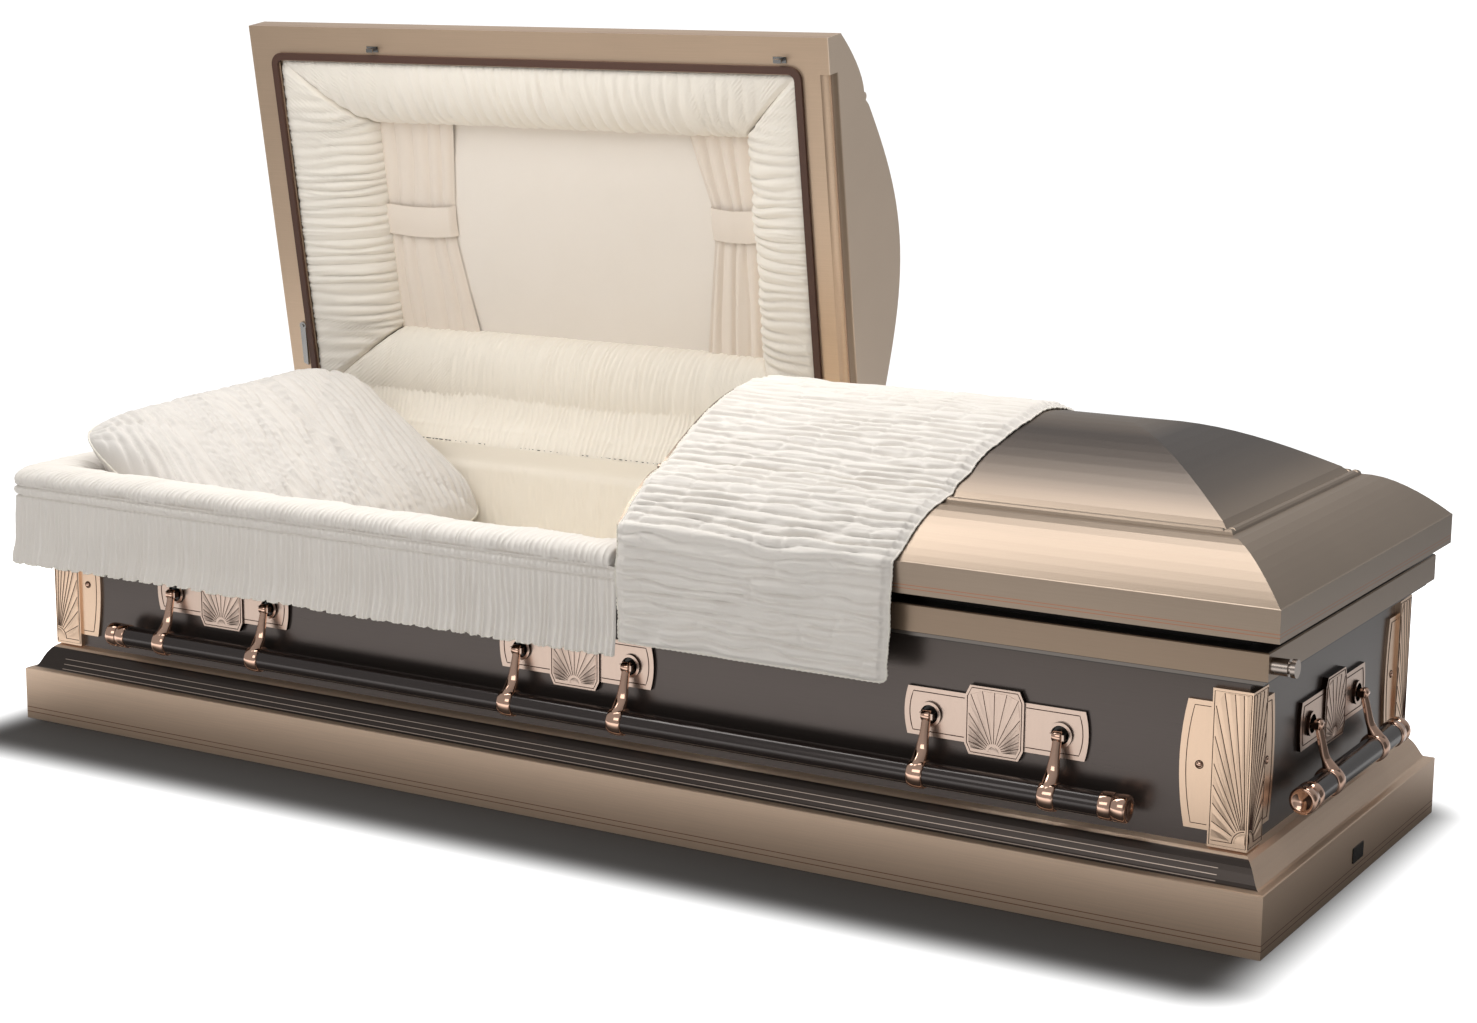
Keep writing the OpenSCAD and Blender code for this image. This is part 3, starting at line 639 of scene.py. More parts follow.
def build_apron(material, thread):
    low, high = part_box("apron_skirt")
    x_start, y_front, x_head, y_end = high.x / MM + 9, low.y / MM, low.x / MM, high.y / MM
    seam, hem, gather, width = high.z / MM, low.z / MM, 9.6, 80

    def run(x_start, y_end, end_count):
        """The outer line, how far along it each point is, and a function that sweeps a section along it."""
        counts = (1150, 40, end_count)
        outer = plan_line(x_start, y_front, x_head, y_end, 30, counts)
        inner = plan_line(x_start, y_front + width, x_head + width + 8, y_end, 14, counts)

        def swept(inset, z):
            share = inset / width
            plan = outer[:, None] + (inner - outer)[:, None] * share[..., None]
            return np.concatenate([plan, np.broadcast_to(z, share.shape)[..., None]], -1)

        return run_of(outer), swept

    along, swept = run(x_start, y_end, 620)
    v = np.concatenate([np.linspace(0, 0.18, 19), np.linspace(0.22, 1, 14)])
    ones = np.ones((len(along), 1))
    notch = np.abs((along / 29 + 0.35 * noise(along / 60, 0.0, 4)) % 1 - 0.5) * 29
    bottom = hem + 2.5 + 2.5 * noise(along / 75, 0.0, 9) + 3.6 * np.exp(-((14.5 - notch) / 3.4) ** 2)
    z = seam + (bottom[:, None] - seam) * v[None, :]
    below = seam - z
    down = below / (seam - hem)
    hollow = 3.0 * np.sin(np.pi * np.clip(down, 0, 1) ** 0.8)
    inset = 1.0 + hollow * (0.75 + 0.25 * noise(along / 140, 0.0, 6))[:, None]
    stitched = np.exp(-((below - 4) / 1.7) ** 2) + np.exp(-((below - 19) / 1.7) ** 2)
    inset = inset + 3.2 * stitched
    ridge = pleats(along[:, None] * ones, below, gather, 150, 21, wander=0.3, sharp=1.5, even=0.62)
    depth = (3.4 + 1.6 * step(below, 19, 55)) * (1 - 0.45 * np.clip(stitched, 0, 1))
    inset = inset - ridge * depth - 1.5 * np.exp(-((below - 11.5) / 4.5) ** 2)
    inset = inset - 1.6 * noise(along[:, None] / 46, z / 60, 12) - 4.0 * step(down, 0.7, 1.0)
    skirt_points = swept(np.maximum(inset, -7), z)
    skirt = cloth("apron_skirt_cloth", skirt_points, material, "root", replaces=("apron_skirt",))
    hem_line = skirt_points[::2, -1]
    beads = 1.0 + 0.3 * np.sin(np.arange(len(hem_line)) * 1.9)
    hem_piece = make_mesh("apron_hem", *tube(hem_line, beads, 5), thread, "root", "ivory_crepe")

    section = [(2.5, seam - 3), (-1.5, 397), (-2, 404), (2, 411.5), (10, 417.5), (24, 420.5), (42, 421),
               (60, 418), (72, 411), (79, 402), (width, 386), (width, 336)]
    section = softened(spaced(section, 33)[0], 7, 5.1)
    along, swept = run(x_start - 3, 302.0, 600)
    s = run_of(section)
    inset = np.broadcast_to(section[:, 0], (len(along), len(s))).copy()
    z = np.broadcast_to(section[:, 1], inset.shape).copy()
    ends = np.minimum(along, along[-1] - along)
    close = (1 - np.sqrt(np.clip(1 - (1 - np.clip(ends / 14, 0, 1)) ** 2, 0, 1)))[:, None]
    inset, z = inset + (40 - inset) * close, z + (392 - z) * close
    across = np.broadcast_to(along[:, None], inset.shape)
    ridge = pleats(across, np.broadcast_to(s, inset.shape), gather, 70, 21, wander=0.3, sharp=0.8, even=0.4)
    ridge = ridge * (0.62 + 0.38 * np.exp(-(s / 26) ** 2))[None, :]
    waves = 2.0 * noise(across / 38, s / 34, 14) + 0.8 * noise(across / 11, s / 13, 15)
    height = (ridge * 4.0 + waves - 1.4) * step(s, 0, 5)[None, :]
    points = raised(swept(inset, z), height * (1 - close), 1)
    roll = cloth("apron_roll_cloth", points, material, "root", replaces=("apron_roll",))
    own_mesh(roll)


def build_lining(material):
    """The quilted walls and the mattress, seen between pillow and throw and when the lids are open."""
    half_x, half_y, corner = 1002.8, 302.8, 10
    turn = np.linspace(0, math.pi / 2, 5)
    plan = []
    for sx, sy in ((1, -1), (1, 1), (-1, 1), (-1, -1)):
        arc = [(sx * (half_x - corner + corner * math.cos(a)), sy * (half_y - corner + corner * math.sin(a)))
               for a in turn]
        plan += arc if sx * sy < 0 else arc[::-1]
    plan = np.array(plan + plan[:1])
    line, along = spaced(plan, 1300)
    line, along = line[:-1], along[:-1]
    z = np.linspace(BED_Z - 6, 402.5, 30)
    tangent = np.roll(line, -1, 0) - np.roll(line, 1, 0)
    tangent /= np.linalg.norm(tangent, axis=1, keepdims=True)
    inward = np.stack([-tangent[:, 1], tangent[:, 0]], 1)
    centre_side = np.sign((inward * -line).sum(1))[:, None]
    inward = inward * centre_side
    grid = np.broadcast_to(along[:, None], (len(along), len(z)))
    height = 1 + 3.2 * pleats(grid, z[None, :] * np.ones_like(grid), 11, 60, 31, wander=0.6, sharp=0.75)
    height = height + 2 * np.sin(np.pi * (z - z[0]) / (z[-1] - z[0]))[None, :]
    height = height * (1 - step(z, 364, 376))[None, :] + 0.4
    points = np.concatenate([line[:, None] + inward[:, None] * height[..., None],
                             np.broadcast_to(z, grid.shape)[..., None]], -1)
    walls = cloth("wall_lining", points, material, "root", "cream_lining", ("body_lining",), close_rows=True)

    x, y = np.linspace(-1001, 1001, 320), np.linspace(-301, 301, 60)
    gx, gy = np.meshgrid(x, y, indexing="ij")
    edge = np.minimum(1001 - np.abs(gx), 301 - np.abs(gy))
    crown = 14 * np.sqrt(np.clip(1 - (1 - np.clip(edge / 26, 0, 1)) ** 2, 0, 1)) - 14
    gz = BED_Z - 2 + crown + 2.4 * pleats(gx, gy, 21, 150, 41, wander=0.8) - 1.2
    drop = edge < 0.5
    gz[drop] = BED_Z - 60
    bed = cloth("mattress_cover", np.stack([gx, gy, gz], -1), material, "root", "cream_lining", ("mattress",))


def build_back_sheet(material):
    """Crepe that carries on from the back wall's lining to the head lid's hinge-side roll."""
    x = np.linspace(-1000, 88, 620)
    line = curve((296.0, 378), (294.5, 414), (330, 432), (340.5, 492), 60)
    line, s = spaced(np.concatenate([[(302.0, 374.5)], line]), 48)
    gx = np.broadcast_to(x[:, None], (len(x), len(s)))
    gy, gz = (np.broadcast_to(line[:, k], gx.shape) for k in (0, 1))
    height = 3.6 * pleats(gx, np.broadcast_to(s, gx.shape), 11, 60, 51, wander=0.6, sharp=0.75)
    height = height + 1.6 * noise(gx / 70, s / 40, 52) - 1.0 * np.exp(-((s - 62) / 2.6) ** 2)[None, :]
    height = height * step(s, 0, 12)[None, :] * (1 - 0.8 * step(s, s[-1] - 12, s[-1]))[None, :]
    points = raised(np.stack([gx, gy, gz], -1), height, -1)
    made = cloth("back_sheet", points, material, None, "cream_lining")
    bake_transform(made)


def build_cap(prefix, box, widths, body, materials, replaces, pitch, lift, transform, counts):
    """Padded rolls round a lid's recess, mitred at the corners; widths are for head, foot and the sides."""
    x0, x1, half = box
    w0, w1, ws = widths
    outside = [(x0, -half), (x1, -half), (x1, half), (x0, half)]
    inside = [(x0 + w0, ws - half), (x1 - w1, ws - half), (x1 - w1, half - ws), (x0 + w0, half - ws)]
    names = ("front", "split", "hinge", "head") if prefix == "cap" else ("front", "end", "hinge", "split")
    angle = np.radians(np.linspace(-4, 90, 26))
    sin, cos = np.sin(angle).clip(0), np.cos(angle)
    for k, side in enumerate(names):
        o0, o1 = np.array(outside[k], float), np.array(outside[(k + 1) % 4], float)
        i0, i1 = np.array(inside[k], float), np.array(inside[(k + 1) % 4], float)
        length = np.linalg.norm(o1 - o0)
        count = int(length / counts)
        t = np.linspace(0, 1, count)[:, None, None]
        outer, inner = o0 + (o1 - o0) * t, i0 + (i1 - i0) * t
        plan = outer + (inner - outer) * sin[None, :, None]
        z = PANEL_Z - ROLL_DEPTH * cos + np.where(angle < 0, 3.0, 0.0)
        points = np.concatenate([plan, np.broadcast_to(z, plan.shape[:2])[..., None]], -1)
        axis = 0 if k % 2 == 0 else 1
        run = points[..., axis]
        arc = np.broadcast_to(angle * 95, run.shape)
        size = pitch[k]
        ridge = pleats(run, arc, size, 130, 61 + k, wander=0.45, sharp=0.66, even=0.55)
        fine = pleats(run, arc, size * 0.42, 45, 71 + k, sharp=0.8, even=0.4)
        height = lift[k] * ridge * (0.35 + 0.65 * np.sin(np.clip(angle, 0, 2) * 1.9))[None, :]
        height = height + 2.6 * fine * (1 - 0.75 * step(angle, 0.05, 0.6))[None, :]
        height = height + 3.5 * np.sin(angle * 2).clip(0)
        seam = np.minimum(np.linspace(0, 1, count), 1 - np.linspace(0, 1, count))[:, None] * length
        height = (height + 2) * step(seam, -4, 16) - 2
        points = raised(points, height, -1)
        piece = cloth(f"{prefix}_roll_{side}_cloth", transform(points), materials[k], body, "cream_lining",
                      replaces[k], flip=True)


def lid_panel(prefix, body, material, replaces, x_range, half_y, counts, sag, waves, transform):
    """The flat cloth inside the rolls. sag: depth and reach. waves: height, two pitches and a seed."""
    x, y = np.linspace(*x_range, counts[0]), np.linspace(-half_y, half_y, counts[1])
    gx, gy = np.meshgrid(x, y, indexing="ij")
    edge = np.minimum(np.minimum(gx - x_range[0], x_range[1] - gx), half_y - np.abs(gy))
    height, pitch_x, pitch_y, seed = waves
    gz = PANEL_Z - sag[0] * step(edge, 0, sag[1]) + height * noise(gx / pitch_x, gy / pitch_y, seed)
    points = transform(np.stack([gx, gy, gz], -1))
    panel = cloth(f"{prefix}_panel_cloth", points, material, body, "cream_lining", replaces,
                  flip=body == "head_lid")


def build_head_cap(cream, flat_cream, lit_cream, curtain_cream):
    build_cap("cap", (-1009, 31, 302), (148, 126, 113), "head_lid", [cream, cream, lit_cream, cream],
              [("cap_roll_front",), ("cap_roll_split",), ("cap_roll_hinge",), ("cap_roll_head",)],
              (24, 17, 11, 17), (7.0, 9.0, 4.6, 9.5), opened, 2.0)
    lid_panel("cap", "head_lid", flat_cream, ("cap_panel",), (-864, -92), 192, (130, 66), (3.5, 90),
              (0.7, 120, 90, 81), opened)
    # curtains tied back at mid height: an outer edge at the roll and an inner edge that the band draws in
    for side, at_wall, band_at, overlap, drape_width, tie_length, folds, seed in (
            ("head", -866, -13, 3, 0.22, 0.15, ((-192, -700), (-40, -716), (14, -722), (192, -692)), 91),
            ("foot", -90, -39, -3, 0.15, 0.12, ((-192, -222), (-66, -186), (-12, -184), (192, -216)), 92)):
        y = np.linspace(-192, 192, 120)
        inner = np.interp(y, *zip(*folds))
        inner = softened(inner[:, None], 26, 3.2)[:, 0]
        u = np.linspace(0, 1, 84)
        gx = at_wall + (inner - at_wall)[:, None] * u[None, :]
        gy = np.broadcast_to(y[:, None], gx.shape)
        squeeze = 1 - 0.5 * np.exp(-((gy - band_at) / 34) ** 2)
        fold = pleats(u[None, :] * 5.2, gy / 400, 1.0, 1.2, seed, wander=0.35, sharp=0.8, even=0.7)
        gz = PANEL_Z - 6 - 8 * fold * squeeze
        gz = gz + 3 * (u[None, :] > 0.985)
        points = opened(np.stack([gx, gy, gz], -1))
        drape = cloth(f"curtain_{side}", points, curtain_cream, "head_lid", "cream_lining")
        v, t = np.linspace(-27, 27, 16), np.linspace(0, 1, 40)
        edge_x = np.interp(band_at, y, inner)
        gx = at_wall + (edge_x + overlap - at_wall) * t[:, None] * np.ones(16)
        gy = band_at + v[None, :] * np.ones((40, 1)) + 4 * np.sin(t * np.pi)[:, None]
        gz = PANEL_Z - 16.5 - 2.2 * np.cos(v / 27 * np.pi / 2)[None, :]
        gz = gz - 1.3 * noise(t * 5, 0.0, seed)[:, None] + 11 * (step(t, 0.93, 1.0) ** 2)[:, None]
        points = opened(np.stack([gx, gy, gz], -1))
        tie = cloth(f"tie_band_{side}", points, curtain_cream, "head_lid", "cream_lining")


def build_foot_cap(cream, flat_cream):
    build_cap("foot_cap", (160, 1009, 302), (50, 50, 50), "foot_lid", [cream] * 4,
              [("foot_cap_lining",), (), (), ()], (24, 24, 24, 24), (3, 3, 3, 3), lambda p: p, 5)
    lid_panel("foot_cap", "foot_lid", flat_cream, (), (207, 962), 255, (90, 60), (4, 80), (2, 90, 70, 95),
              lambda p: p)


def build_pillow(material, thread):
    centre = np.array([-802.5, 0, 379.6])
    slope = math.radians(34)
    hu, hv = 217.0, 291.0
    n, m = 130, 176
    u, v = np.meshgrid(np.sin(np.linspace(-1, 1, n) * np.pi / 2), np.sin(np.linspace(-1, 1, m) * np.pi / 2),
                       indexing="ij")

    def place(a, b, h):
        """a down the slope, b along the pillow, h off its middle plane."""
        along_u = np.array([math.cos(slope), 0, -math.sin(slope)])
        along_v = np.array([0.13, 1, 0.077])
        off = np.cross(along_u, along_v)
        off /= np.linalg.norm(off)
        return centre + a[..., None] * along_u + b[..., None] * along_v + h[..., None] * off

    reach = (np.abs(u) ** 7 + np.abs(v) ** 7) ** (1 / 7)
    rounding = np.maximum(np.abs(u), np.abs(v)) / np.maximum(reach, 1e-6)
    pull = (1 - 0.03 * (1 - np.abs(v) ** 2.2)) * rounding
    pull_v = (1 - 0.02 * (1 - np.abs(u) ** 2.2)) * rounding
    a, b = u * hu * pull, v * hv * pull_v
    body = (1 - np.abs(u) ** 3.0) ** 0.55 * (1 - np.abs(v) ** 7.0) ** 0.5
    full = 53 * body
    edge = np.minimum((1 - np.abs(u)) * hu, (1 - np.abs(v)) * hv)
    ridge = pleats(b + 0.22 * a, a, 15.5, 120, 101, wander=0.55, sharp=0.62, even=0.55)
    ridge = ridge * (16.0 - 5.5 * step(b, -40, 230)) + 2.0 * pleats(b + 0.2 * a, a, 7, 70, 103, even=0.1)
    ridge = ridge * (0.25 + 0.75 * step(edge, 0, 26))
    knot_a, knot_b = a + hu, b + hv
    knot = np.abs(np.sin(11 * np.arctan2(knot_b, knot_a + 1e-6))) * np.exp(-np.hypot(knot_a, knot_b) / 62)
    ridge = ridge * (1 - np.exp(-np.hypot(knot_a, knot_b) / 70)) + 9 * knot
    top = place(a, b, full + ridge * step(body, 0.0, 0.35) - 1.5)
    bottom = place(a, b, -full * 0.9 - ridge * 0.4 * step(body, 0.0, 0.35))
    points = np.concatenate([top.reshape(-1, 3), bottom.reshape(-1, 3)])
    faces = np.concatenate([grid_faces(n, m), grid_faces(n, m, first=n * m)[:, ::-1]])
    made = make_mesh("pillow_cloth", points, faces, material, "root", "ivory_crepe", ("pillow",))
    weld = made.modifiers.new("weld", "WELD")
    weld.merge_threshold = 0.0002
    border = np.concatenate([top[0], top[1:, -1], top[-1, -2::-1], top[-2:0:-1, 0]])
    beads = 2.0 + 0.35 * np.sin(np.arange(len(border)) * 1.7)
    piping = make_mesh("pillow_seam", *tube(border, beads, 6, True), thread, "root", "ivory_crepe")
    for piece in (made, piping):
        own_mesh(piece)


# --- hardware ---


def to_side(points, side):
    """From the front (y = 0 on the body's side) to one of the four sides, as the CAD places them."""
    p = np.asarray(points, float).copy()
    turn, shift = {"front": (0, (0, -320)), "back": (180, (0, 320)), "foot_end": (90, (1020, 0)),
                   "head_end": (-90, (-1020, 0))}[side]
    c, s = math.cos(math.radians(turn)), math.sin(math.radians(turn))
    x, y, z = p[..., 0], p[..., 1], p[..., 2]
    return np.stack([x * c - y * s + shift[0], x * s + y * c + shift[1], z], -1)


def leaning(points):
    """From hanging plumb about the pivot to where the arm rests."""
    t = math.radians(-ARM_LEAN)
    p = np.asarray(points, float)
    y, z = p[..., 1], p[..., 2]
    return np.stack([p[..., 0], y * math.cos(t) - z * math.sin(t) - PIVOT_OUT,
                     y * math.sin(t) + z * math.cos(t) + ARM_PIVOT_Z], -1)


PLATES = [("front", -671), ("front", 0), ("front", 671), ("back", -671), ("back", 0), ("back", 671),
          ("head_end", 0), ("foot_end", 0)]


def fan(centre, targets, radius, depth, ridge=0.8):
    """A sunburst at y = -depth: low ridges between rays, and the rays' (start, end) points."""
    centre, targets = np.array(centre, float), np.array(targets, float)
    ends = [targets[0]]
    for a, b in zip(targets[:-1], targets[1:]):
        ends += [(a + b) / 2, b]
    points, rays = [], []
    for i, end in enumerate(ends):
        way = end - centre
        near = centre + way * radius / np.hypot(*way)
        high = ridge if i % 2 else 0.12
        for p, h in ((near, 0.1), ((near + end) / 2, high), (end, high * 0.8), (end + way * 0.002, -0.3)):
            points.append((p[0], -depth - h, p[1]))
        if i % 2 == 0 and 0 < i < len(ends) - 1:
            rays.append(((near[0], -depth - 0.25, near[1]), (end[0], -depth - 0.25, end[1])))
    return np.array(points), grid_faces(len(ends), 4), rays


def hit(start, direction, a, b):
    """How far from start along direction the segment a-b is met, or infinity."""
    e = (b[0] - a[0], b[1] - a[1])
    cross = direction[0] * e[1] - direction[1] * e[0]
    if abs(cross) < 1e-9:
        return math.inf
    w = (a[0] - start[0], a[1] - start[1])
    t = (w[0] * e[1] - w[1] * e[0]) / cross
    s = (w[0] * direction[1] - w[1] * direction[0]) / cross
    return t if t > 0 and -1e-6 <= s <= 1 + 1e-6 else math.inf


def dome(x, z, radius, height, depth, sides=20, start=0.0, turn=2 * math.pi):
    """(points, faces) of a low dome on the plane y = -depth, or of a sector of one."""
    rings = 6
    grid = []
    for i in range(rings + 1):
        r = radius * math.sin(math.pi / 2 * i / rings)
        h = height * math.cos(math.pi / 2 * i / rings)
        angles = [start + turn * k / sides for k in range(sides + 1)]
        grid.append([(x + r * math.cos(a), -depth - h, z + r * math.sin(a)) for a in angles])
    return np.array(grid), grid_faces(rings + 1, sides + 1)


def build_plates(satin, groove, dark):
    relief, lines, holes = [], [], []
    w, h = 38.5, 43.0
    octagon = [(-w + 6, -h), (w - 6, -h), (w, -h + 12), (w, h - 12),
               (w - 6, h), (-w + 6, h), (-w, h - 12), (-w, -h + 12)]

    def placed(points):
        return to_side(points.reshape(-1, 3) + (x, 0, PLATE_Z), side)

    for side, x in PLATES:
        sun = (0, -h + 2)
        targets = []
        for angle in np.radians(np.linspace(4, 176, 15)):
            way = (math.cos(angle), math.sin(angle))
            far = min(hit(sun, way, octagon[k], octagon[(k + 1) % 8]) for k in range(8))
            targets.append((sun[0] + way[0] * (far - 2), sun[1] + way[1] * (far - 2)))
        p, f, rays = fan(sun, targets, 12, 8)
        relief.append((placed(p), f))
        drawn = [(ray, 0.42, False) for ray in rays]
        p, f = dome(*sun, 8, 1.2, 8, 20, 0, math.pi)
        relief.append((placed(p), f))
        drawn.append(([(a[0] * 1.03, -8.2, a[1] * 1.03) for a in octagon], 0.55, True))
        for s in (-1, 1):
            bow = [(s * (126.5 - 5 * q * q), -5.1, q * 27) for q in np.linspace(1, -1, 9)]
            wing = [(s * 45, -5.1, 27), *bow, (s * 45, -5.1, -27)]
            drawn.append((wing, 0.65, False))
            p, f = dome(s * ARM_OUT, ARM_PIVOT_Z - PLATE_Z, 12.9, 0.5, 5.1, 28)
            holes.append((placed(p), f))
        for line, radius, closed in drawn:
            p, f = tube(np.array(line), radius, 6, closed)
            lines.append((placed(p), f))
    make_mesh("plate_sunbursts", *joined(relief), satin, "root", "rose_gold", smooth=False)
    make_mesh("plate_grooves", *joined(lines), groove, "root", "rose_gold")
    make_mesh("plate_recesses", *joined(holes), dark, "root", "dark_plate")


def build_posts(satin, groove, polished):
    """Rays from a half-sun at the foot of each post's outer corner, frame lines, a rivet on each wing."""
    rays, lines, rivets = [], [], []
    z0, width, height = 125.2, 54, 209
    side_x, top = width - 5, height - 5
    targets = [(side_x, up) for up in (14, 34, 58, 82, 110, 146, 186)]
    targets += [(side_x * 0.78, top), (side_x * 0.5, top), (side_x * 0.26, top), (4, top)]
    *fans, ray_lines = fan((3.5, 9), targets, 20, 0)
    engraved = [tube(np.array(ray), 0.5, 6) for ray in ray_lines]
    arc = np.array([(3.5 + 17.5 * math.cos(a), -0.2, 9 + 17.5 * math.sin(a))
                    for a in np.linspace(0, 1.5, 14)])
    engraved += [tube(arc, 0.55, 6), tube(np.array([(21, -0.2, 9), (side_x, -0.2, 9)]), 0.5, 6)]
    sun = dome(3.5, 9, 15, 1.4, 0, 12, 0, math.pi / 2)
    corners = ((2.2, 3.5), (width - 2.6, 3.5), (width - 2.6, height - 3.5), (2.2, height - 3.5))
    edge = tube(np.array([(across, -0.15, up) for across, up in corners]), 0.5, 6, True)
    wing = [(width - 3 + 43 - 6 - 9 * q * q, 3.8, height / 2 + q * 78) for q in np.linspace(1, -1, 11)]
    wing = np.array([(width + 3, 3.8, height / 2 + 78)] + wing + [(width + 3, 3.8, height / 2 - 78)])
    wing_line = tube(wing, 0.5, 6)
    rivet = dome(width + 16, height / 2, 4.2, 2.6, -3.9, 16)
    washer = tube(np.array([(width + 16 + 5.2 * math.cos(a), 3.9, height / 2 + 5.2 * math.sin(a))
                            for a in np.arange(20) * math.pi / 10]), 0.7, 6, True)
    patterns = ((rays, fans), (rays, sun), (lines, edge), (lines, wing_line), (rivets, rivet),
                (lines, washer), *[(lines, e) for e in engraved])
    for sx, sy, facing in itertools.product((-1, 1), (-1, 1), ("side", "end")):
        for target, (p, f) in patterns:
            p = np.asarray(p, float).reshape(-1, 3)
            inward, out, up = p[:, 0], -p[:, 1], p[:, 2]
            if facing == "side":
                q = np.stack([sx * (1028 - inward), sy * (328 + out), z0 + up], 1)
            else:
                q = np.stack([sx * (1028 + out), sy * (328 - inward), z0 + up], 1)
            target.append((q, f))
    make_mesh("post_sunbursts", *joined(rays), satin, "root", "rose_gold", smooth=False)
    make_mesh("post_grooves", *joined(lines), groove, "root", "rose_gold")
    make_mesh("post_rivets", *joined(rivets), polished, "root", "rose_gold")


def build_bars(brown, polished, groove):
    def placed(points):
        return to_side(leaning(points + (0, 0, -ARM_DROP)), side)

    for side, half, body in (("front", 878, "handle_front"), ("back", 878, "handle_back"),
                             ("head_end", 205, "handle_head_end"), ("foot_end", 205, "handle_foot_end")):
        inner = half - TIP_L
        rod = lathe([(-inner - 2, BAR_R - 0.1), *[(x, BAR_R - 0.05) for x in np.linspace(-inner, inner, 60)],
                     (inner + 2, BAR_R - 0.1)], 40)
        make_mesh(f"bar_{side}_rod", placed(rod[0]), rod[1], brown, body, "bar_brown", (f"bar_{side}",))
        tips, rings = [], []
        for s in (-1, 1):
            profile = [(inner, 17.2), (inner + 0.5, 18.5), (inner + 2, 18.9), (inner + 16, 18.9),
                       (inner + 17, 17.7), (inner + 19, 17.7), (inner + 20, 18.9), (half - 3.5, 18.9),
                       (half - 1.2, 18.0), (half - 0.1, 16.2), (half - 0.1, 12.2), (half - 1.4, 11.4),
                       (half - 1.4, 0.01)]
            p, f = lathe([(s * x, r) for x, r in profile], 40)
            tips.append((placed(p), f[:, ::-1] if s < 0 else f))
            p, f = lathe([(s * (inner + 17.1), 17.8), (s * (inner + 18.9), 17.8)], 40)
            rings.append((placed(p), f))
        make_mesh(f"bar_{side}_tips", *joined(tips), polished, body, "rose_gold")
        make_mesh(f"bar_{side}_rings", *joined(rings), groove, body, "dark_plate")


def build_arms(polished):
    """Cast arms: an eye, a strap with a raised spine that widens, and a collar round the bar."""
    places = {"front": (-671, 0, 671), "back": (-671, 0, 671), "head_end": (0,), "foot_end": (0,)}
    reach = ARM_DROP - BAR_R
    for side, spots in places.items():
        number = 0
        for x0 in spots:
            for s in (-1, 1):
                number += 1
                parts = []
                v = np.linspace(0, 1, 30)
                swell = 3 * v * v - 2 * v ** 3
                half_w = 6.4 + 5.4 * swell - 1.0 * np.sin(np.pi * v)
                half_t = 4.2 + 0.6 * np.sin(np.pi * v) + 6.5 * step(v, 0.6, 1)
                turn = np.arange(24) * 2 * np.pi / 24
                c, sn = np.cos(turn), np.sin(turn)
                round_x = np.sign(c) * np.abs(c) ** 0.75
                round_y = np.sign(sn) * np.abs(sn) ** 0.8
                spine = 1 + 0.28 * np.exp(-((turn - 1.5 * np.pi) / 0.35) ** 2)
                x = half_w[:, None] * round_x[None, :]
                y = half_t[:, None] * (round_y * spine)[None, :] - 5.0 * step(v, 0.5, 1.0)[:, None]
                z = np.broadcast_to((-3 - (reach + 6) * v)[:, None], x.shape)
                parts.append((np.stack([x, y, z], -1).reshape(-1, 3), grid_faces(30, 24, close_columns=True)))
                eye = lathe([(-6.5, 2.2), (-6.5, 6.6), (-5.6, 7.5), (5.6, 7.5), (6.5, 6.6), (6.5, 2.2)], 28)
                parts.append(eye)
                half = [(11.8, 0.05), (11.6, 1.4), (10, 2.5), (6, 3.4)]
                ring = [*((-x, r) for x, r in half), (0, 3.8), *half[::-1]]
                collar = lathe([(x, BAR_R + r) for x, r in ring], 40)
                parts.append((collar[0] + (0, 0, -ARM_DROP), collar[1]))
                p, f = joined(parts)
                p = to_side(leaning(p + (x0 + s * ARM_OUT, 0, 0)), side)
                make_mesh(f"arm_{side}_{number}_cast", p, f, polished, f"handle_{side}", "rose_gold",
                          (f"arm_{side}_{number}",))


# --- build ---


set_camera()
set_stage()

# the top moulding's ledge from 0.3934 up is painted near-black: a painted shadow in the gap under the lids
champagne = brushed_metal("champagne_metal", CHAMPAGNE, marks=(
    (0.30, 0.3555, BAND), (0.30, 0.3492, BAND_EDGE), (0.3548, 0.3566, BAND_EDGE), (0.3934, 0.42, GAP_SHADOW_BLACK)))
# darker toward the crown: the lids' two-tone shaded paint; lighter again at the very top: a painted highlight
# of the overhead light
lid_shading_and_highlight = [(0.40, 0.0), (0.522, 0.0), (0.536, 0.28), (0.552, 0.68),
              (0.575, 0.93), (0.598, 1.0), (0.610, 0.5)]
foot_lid_metal = brushed_metal("champagne_foot_lid", CHAMPAGNE_FOOT_LID_SHADED, lid_shading_and_highlight, cut_end=(0.0972, 0.0990),
                               stripes=LID_PINSTRIPES, roughness=0.36)
# the head lid is painted lighter than the foot lid, and its cut end lighter still: painted light
head_lid_metal = brushed_metal("champagne_head_lid", CHAMPAGNE_HEAD_LID_LIT, lid_shading_and_highlight, True,
                               cut_end=(0.0938, 0.0920),
                               lit_end_colour=(0.94, 0.76, 0.60), stripes=LID_PINSTRIPES,
                               roughness=0.34)
# darker toward the top: a painted shade under the top moulding; near-black at the top edge: a painted gap
# shadow
shell_shade_under_rim = [(0.1, 0.0), (0.27, 0.0), (0.345, 0.5), (0.41, 1.0)]
shell_metal = brushed_metal("graphite_metal", (0.099, 0.080, 0.072), shell_shade_under_rim,
                            marks=((0.3915, 0.42, GAP_SHADOW_BLACK),), roughness=0.3)
base_champagne = base_metal()
rose_satin = plain_metal("rose_gold_satin", (0.80, 0.585, 0.43), 0.3, SATIN_GRAIN)
rose_plate = plain_metal("rose_gold_plate", (0.66, 0.51, 0.425), 0.3, SATIN_GRAIN)
rose_side = faced_metal("rose_gold_side", (0.66, 0.51, 0.425), 1)
rose_end = faced_metal("rose_gold_end", (0.66, 0.51, 0.425), 0)
lock_steel = plain_metal("lock_steel", (0.42, 0.36, 0.32), 0.22)
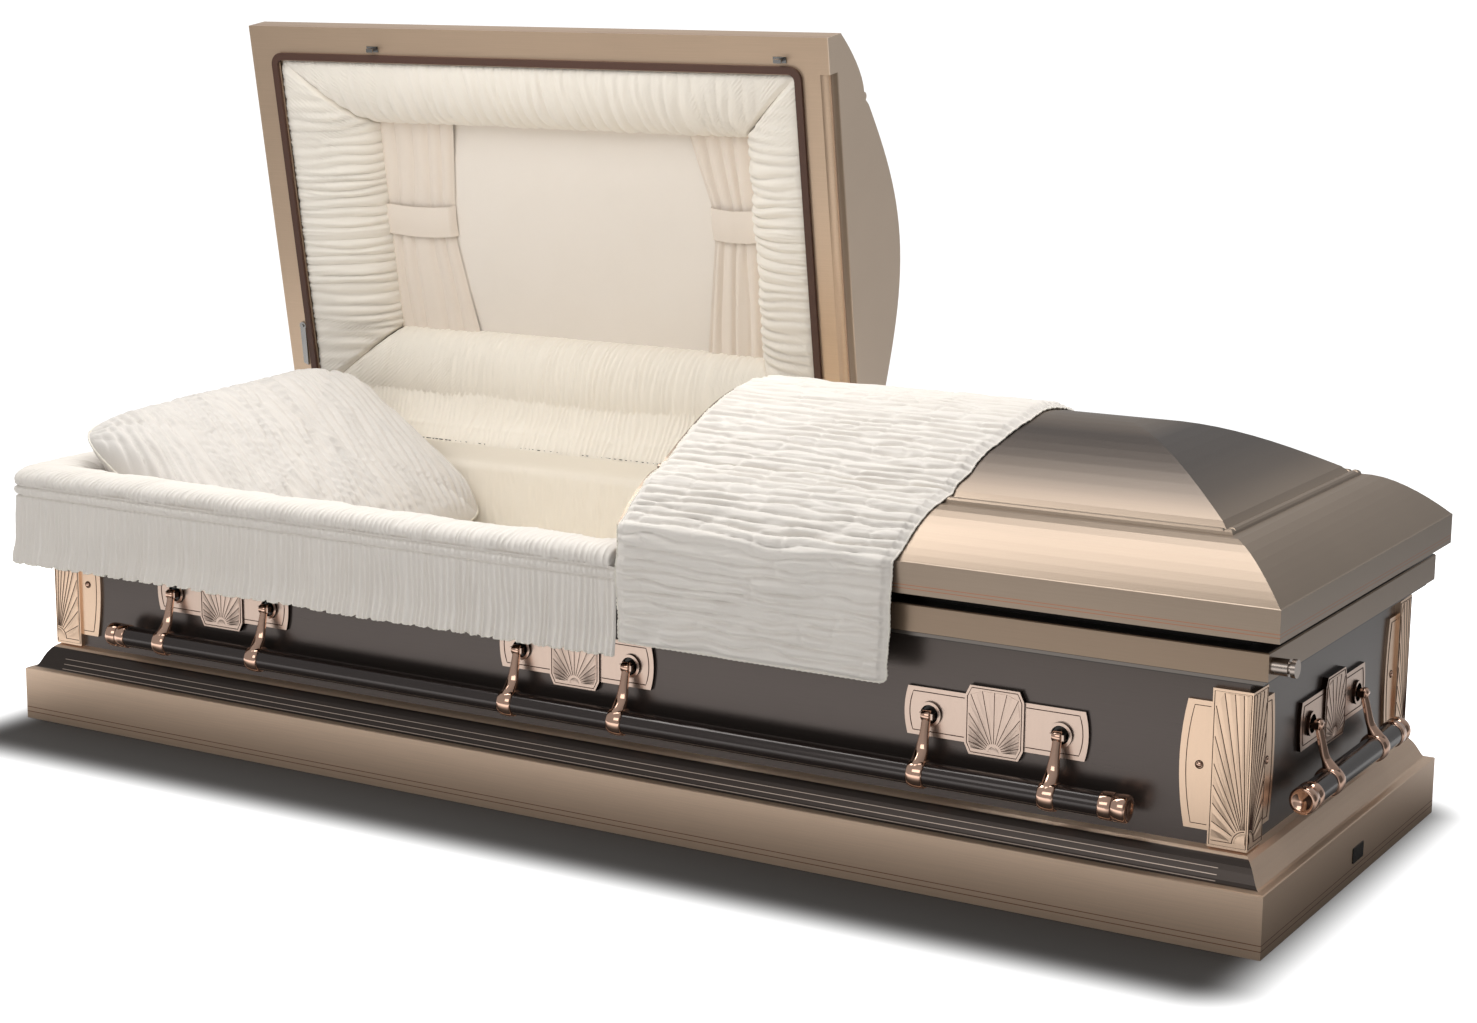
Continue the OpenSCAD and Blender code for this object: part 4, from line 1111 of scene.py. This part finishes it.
rose_polished = plain_metal("rose_gold_polished", (0.82, 0.54, 0.41), 0.09, (30, 30, 30), 0.05)
# dark for engraved grooves and the rings in the bar tips' grooves: a painted shade in the grooves
rose_groove_shade = plain_metal("rose_gold_groove_shade", (0.10, 0.05, 0.035), 0.5, metallic=0.6)
bar_brown = plain_metal("bar_brown", (0.038, 0.027, 0.024), 0.2, (6, 300, 300), 0.08, 0.35, Coat_Weight=0.6,
                        Coat_Roughness=0.06)
steel = plain_metal("bright_steel", (0.34, 0.33, 0.32), 0.24)
hinge_steel = plain_metal("hinge_bronze", (0.36, 0.3, 0.26), 0.36)
rubber = plain_metal("gasket_rubber", (0.075, 0.032, 0.02), 0.55, (200, 200, 200), metallic=0.0)
plaque_black = plain_metal("plaque_enamel", (0.02, 0.018, 0.016), 0.25, metallic=0.2)
# the bright and the flat cream are lighter copies of the cream lining, the pillow's ivory a darker copy of
# the ivory crepe, each toned for the light on its parts: painted light and shade
ivory = crepe("ivory_crepe", (0.835, 0.795, 0.745), (0.765, 0.71, 0.65))
cream = crepe("cream_lining", (0.90, 0.85, 0.775), (0.845, 0.785, 0.69))
lit_cream = crepe("lit_cream", (0.93, 0.87, 0.775), (0.885, 0.82, 0.71))
flat_cream = crepe("flat_cream", (0.92, 0.855, 0.785), (0.86, 0.785, 0.70))
curtain_cream = crepe("curtain_cream", (0.885, 0.795, 0.705), (0.815, 0.715, 0.615))
pillow_ivory = crepe("pillow_ivory", (0.73, 0.70, 0.665), (0.62, 0.575, 0.53))
thread = crepe("edge_thread", (0.86, 0.82, 0.74), (0.80, 0.75, 0.66))

coat(base_champagne, "base_moulding")
coat(champagne, "top_moulding")
coat(foot_lid_metal, "foot_lid")
coat(head_lid_metal, "head_lid")
coat(shell_metal, "body_shell")
coat(plaque_black, "plaque")
coat(lock_steel, "lock_plug")
coat(rose_satin, *[n for n in NODES if n.startswith("post_")])
for n in NODES:
    if n.startswith("plate_"):
        coat(rose_end if "_end" in n else rose_side, n)
coat(hinge_steel, "hinge_head", "hinge_foot")
coat(rubber, "head_gasket", "foot_gasket")
coat(steel, "latch_head", "latch_split", "lid_stay")

build_throw(ivory, thread)
build_apron(ivory, thread)
build_lining(lit_cream)
build_head_cap(cream, flat_cream, lit_cream, curtain_cream)
build_back_sheet(lit_cream)
build_foot_cap(cream, flat_cream)
build_pillow(pillow_ivory, thread)
build_plates(rose_plate, rose_groove_shade, plaque_black)
build_posts(rose_satin, rose_groove_shade, rose_polished)
build_bars(bar_brown, rose_polished, rose_groove_shade)
build_arms(rose_polished)
